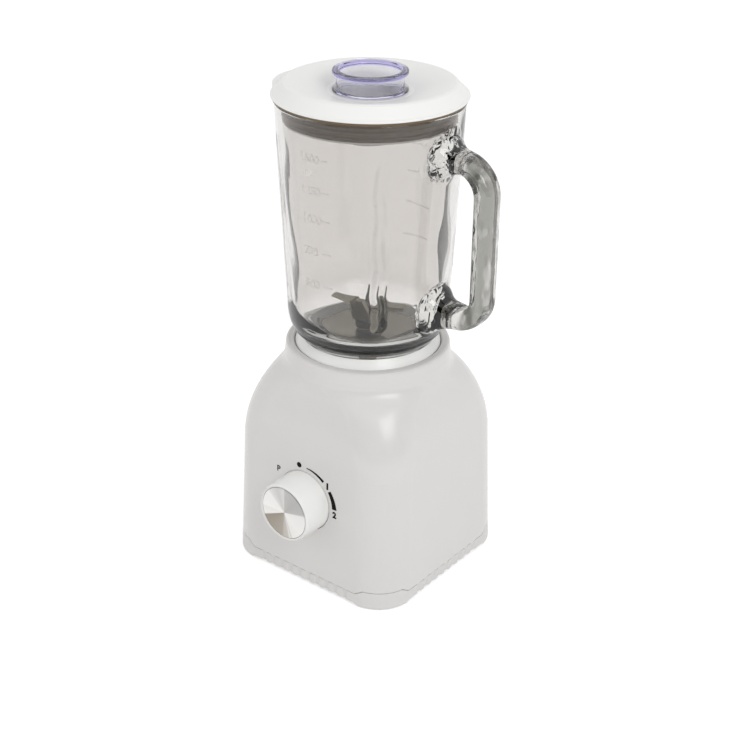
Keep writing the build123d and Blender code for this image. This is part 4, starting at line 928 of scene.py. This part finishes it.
class BLENDER_OT_cap(bpy.types.Operator):
    """Clear violet measuring cap"""
    bl_idname = "countertop_blender.cap"
    bl_label = "Measuring cap"

    def execute(self, context):
        low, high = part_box("measuring_cap")
        ring = high.x - 0.1 * MM
        body, foot, wall = ring - 2.8 * MM, ring - 4.0 * MM, 2.0 * MM
        seat_z = high.z - 14.7 * MM
        outside = stepped_off(
            (0, TIP, low.z, 0), (foot, -2.5, low.z, 0), (foot, -0.8, low.z, 0.5), (foot, 0, low.z, 2.2),
            (body, 0, seat_z, -0.4), (body, 0.2, seat_z, 0), (high.x, -0.4, seat_z, 0),
            (high.x, 0, seat_z, 0.3), (high.x, 0, seat_z, 0.8), (high.x, -0.4, seat_z, 1.2),
            (body, 0.6, seat_z, 1.2), (body, 0, seat_z, 1.7), (body, 0, high.z, -3.9),
            (body, 0.9, high.z, -3.3), (ring, -0.5, high.z, -3.0), (ring, 0, high.z, -2.4),
            (ring, 0, high.z, -0.9), (ring, -0.35, high.z, -0.3), (ring, -1.0, high.z, 0),
            (ring, -4.4, high.z, 0), (ring, -5.0, high.z, -0.5), (body - wall, 0, high.z, -4))
        inside = stepped_off((foot - wall, 0, low.z + wall, 2), (foot - wall, -1.6, low.z + wall, 0),
                             (0, TIP, low.z + wall, 0))
        # SAN moulded clear: a violet tint that gathers in the thick ring.
        tint = (context.scene.blender_colours.cap, 45.0)
        clear = clear_solid("violet clear SAN", tint, SAN_IOR, 0.0, 20, 0.02,
                            extra=cap_skin(seat_z, high.z - 3 * MM, linear("#D3CDF3")))
        cap = turned("measuring_cup", outside + inside, clear, 160)
        bevel = cap.modifiers.new("soft edges", "BEVEL")
        bevel.width, bevel.segments, bevel.angle_limit = 0.35 * MM, 2, math.radians(25)
        apply_modifier(cap, bevel)
        seat(cap, "cap", "violet_clear_plastic", "measuring_cap")
        return {"FINISHED"}


class BLENDER_PT_pieces(bpy.types.Panel):
    """Lists the pieces of the countertop blender"""
    bl_label = "Countertop Blender"
    bl_idname = "BLENDER_PT_pieces"
    bl_space_type = "VIEW_3D"
    bl_region_type = "UI"
    bl_category = "Blender"

    def draw(self, context):
        for group in ("blender_jar", "blender_marks", "blender_colours", "blender_stage"):
            settings = getattr(context.scene, group)
            column = self.layout.column(align=True)
            for name in settings.__annotations__:
                column.prop(settings, name)
        for operator in OPERATORS:
            self.layout.operator(operator.bl_idname)


GROUPS = {"blender_jar": JarSizes, "blender_marks": MarkSizes, "blender_colours": FinishColours,
          "blender_stage": StageSettings}
OPERATORS = (BLENDER_OT_stage, BLENDER_OT_finishes, BLENDER_OT_jar, BLENDER_OT_scale, BLENDER_OT_dial,
             BLENDER_OT_knob_disc, BLENDER_OT_cap)


def register():
    for group in GROUPS.values():
        bpy.utils.register_class(group)
    for name, group in GROUPS.items():
        setattr(bpy.types.Scene, name, PointerProperty(type=group))
    for operator in OPERATORS:
        bpy.utils.register_class(operator)
    bpy.utils.register_class(BLENDER_PT_pieces)


def unregister():
    bpy.utils.unregister_class(BLENDER_PT_pieces)
    for operator in reversed(OPERATORS):
        bpy.utils.unregister_class(operator)
    for name, group in GROUPS.items():
        delattr(bpy.types.Scene, name)
        bpy.utils.unregister_class(group)


def main():
    register()
    bpy.ops.countertop_blender.stage()
    bpy.ops.countertop_blender.finishes()
    bpy.ops.countertop_blender.jar()
    bpy.ops.countertop_blender.scale()
    bpy.ops.countertop_blender.dial()
    bpy.ops.countertop_blender.knob_disc()
    bpy.ops.countertop_blender.cap()


if __name__ == "__main__":
    main()
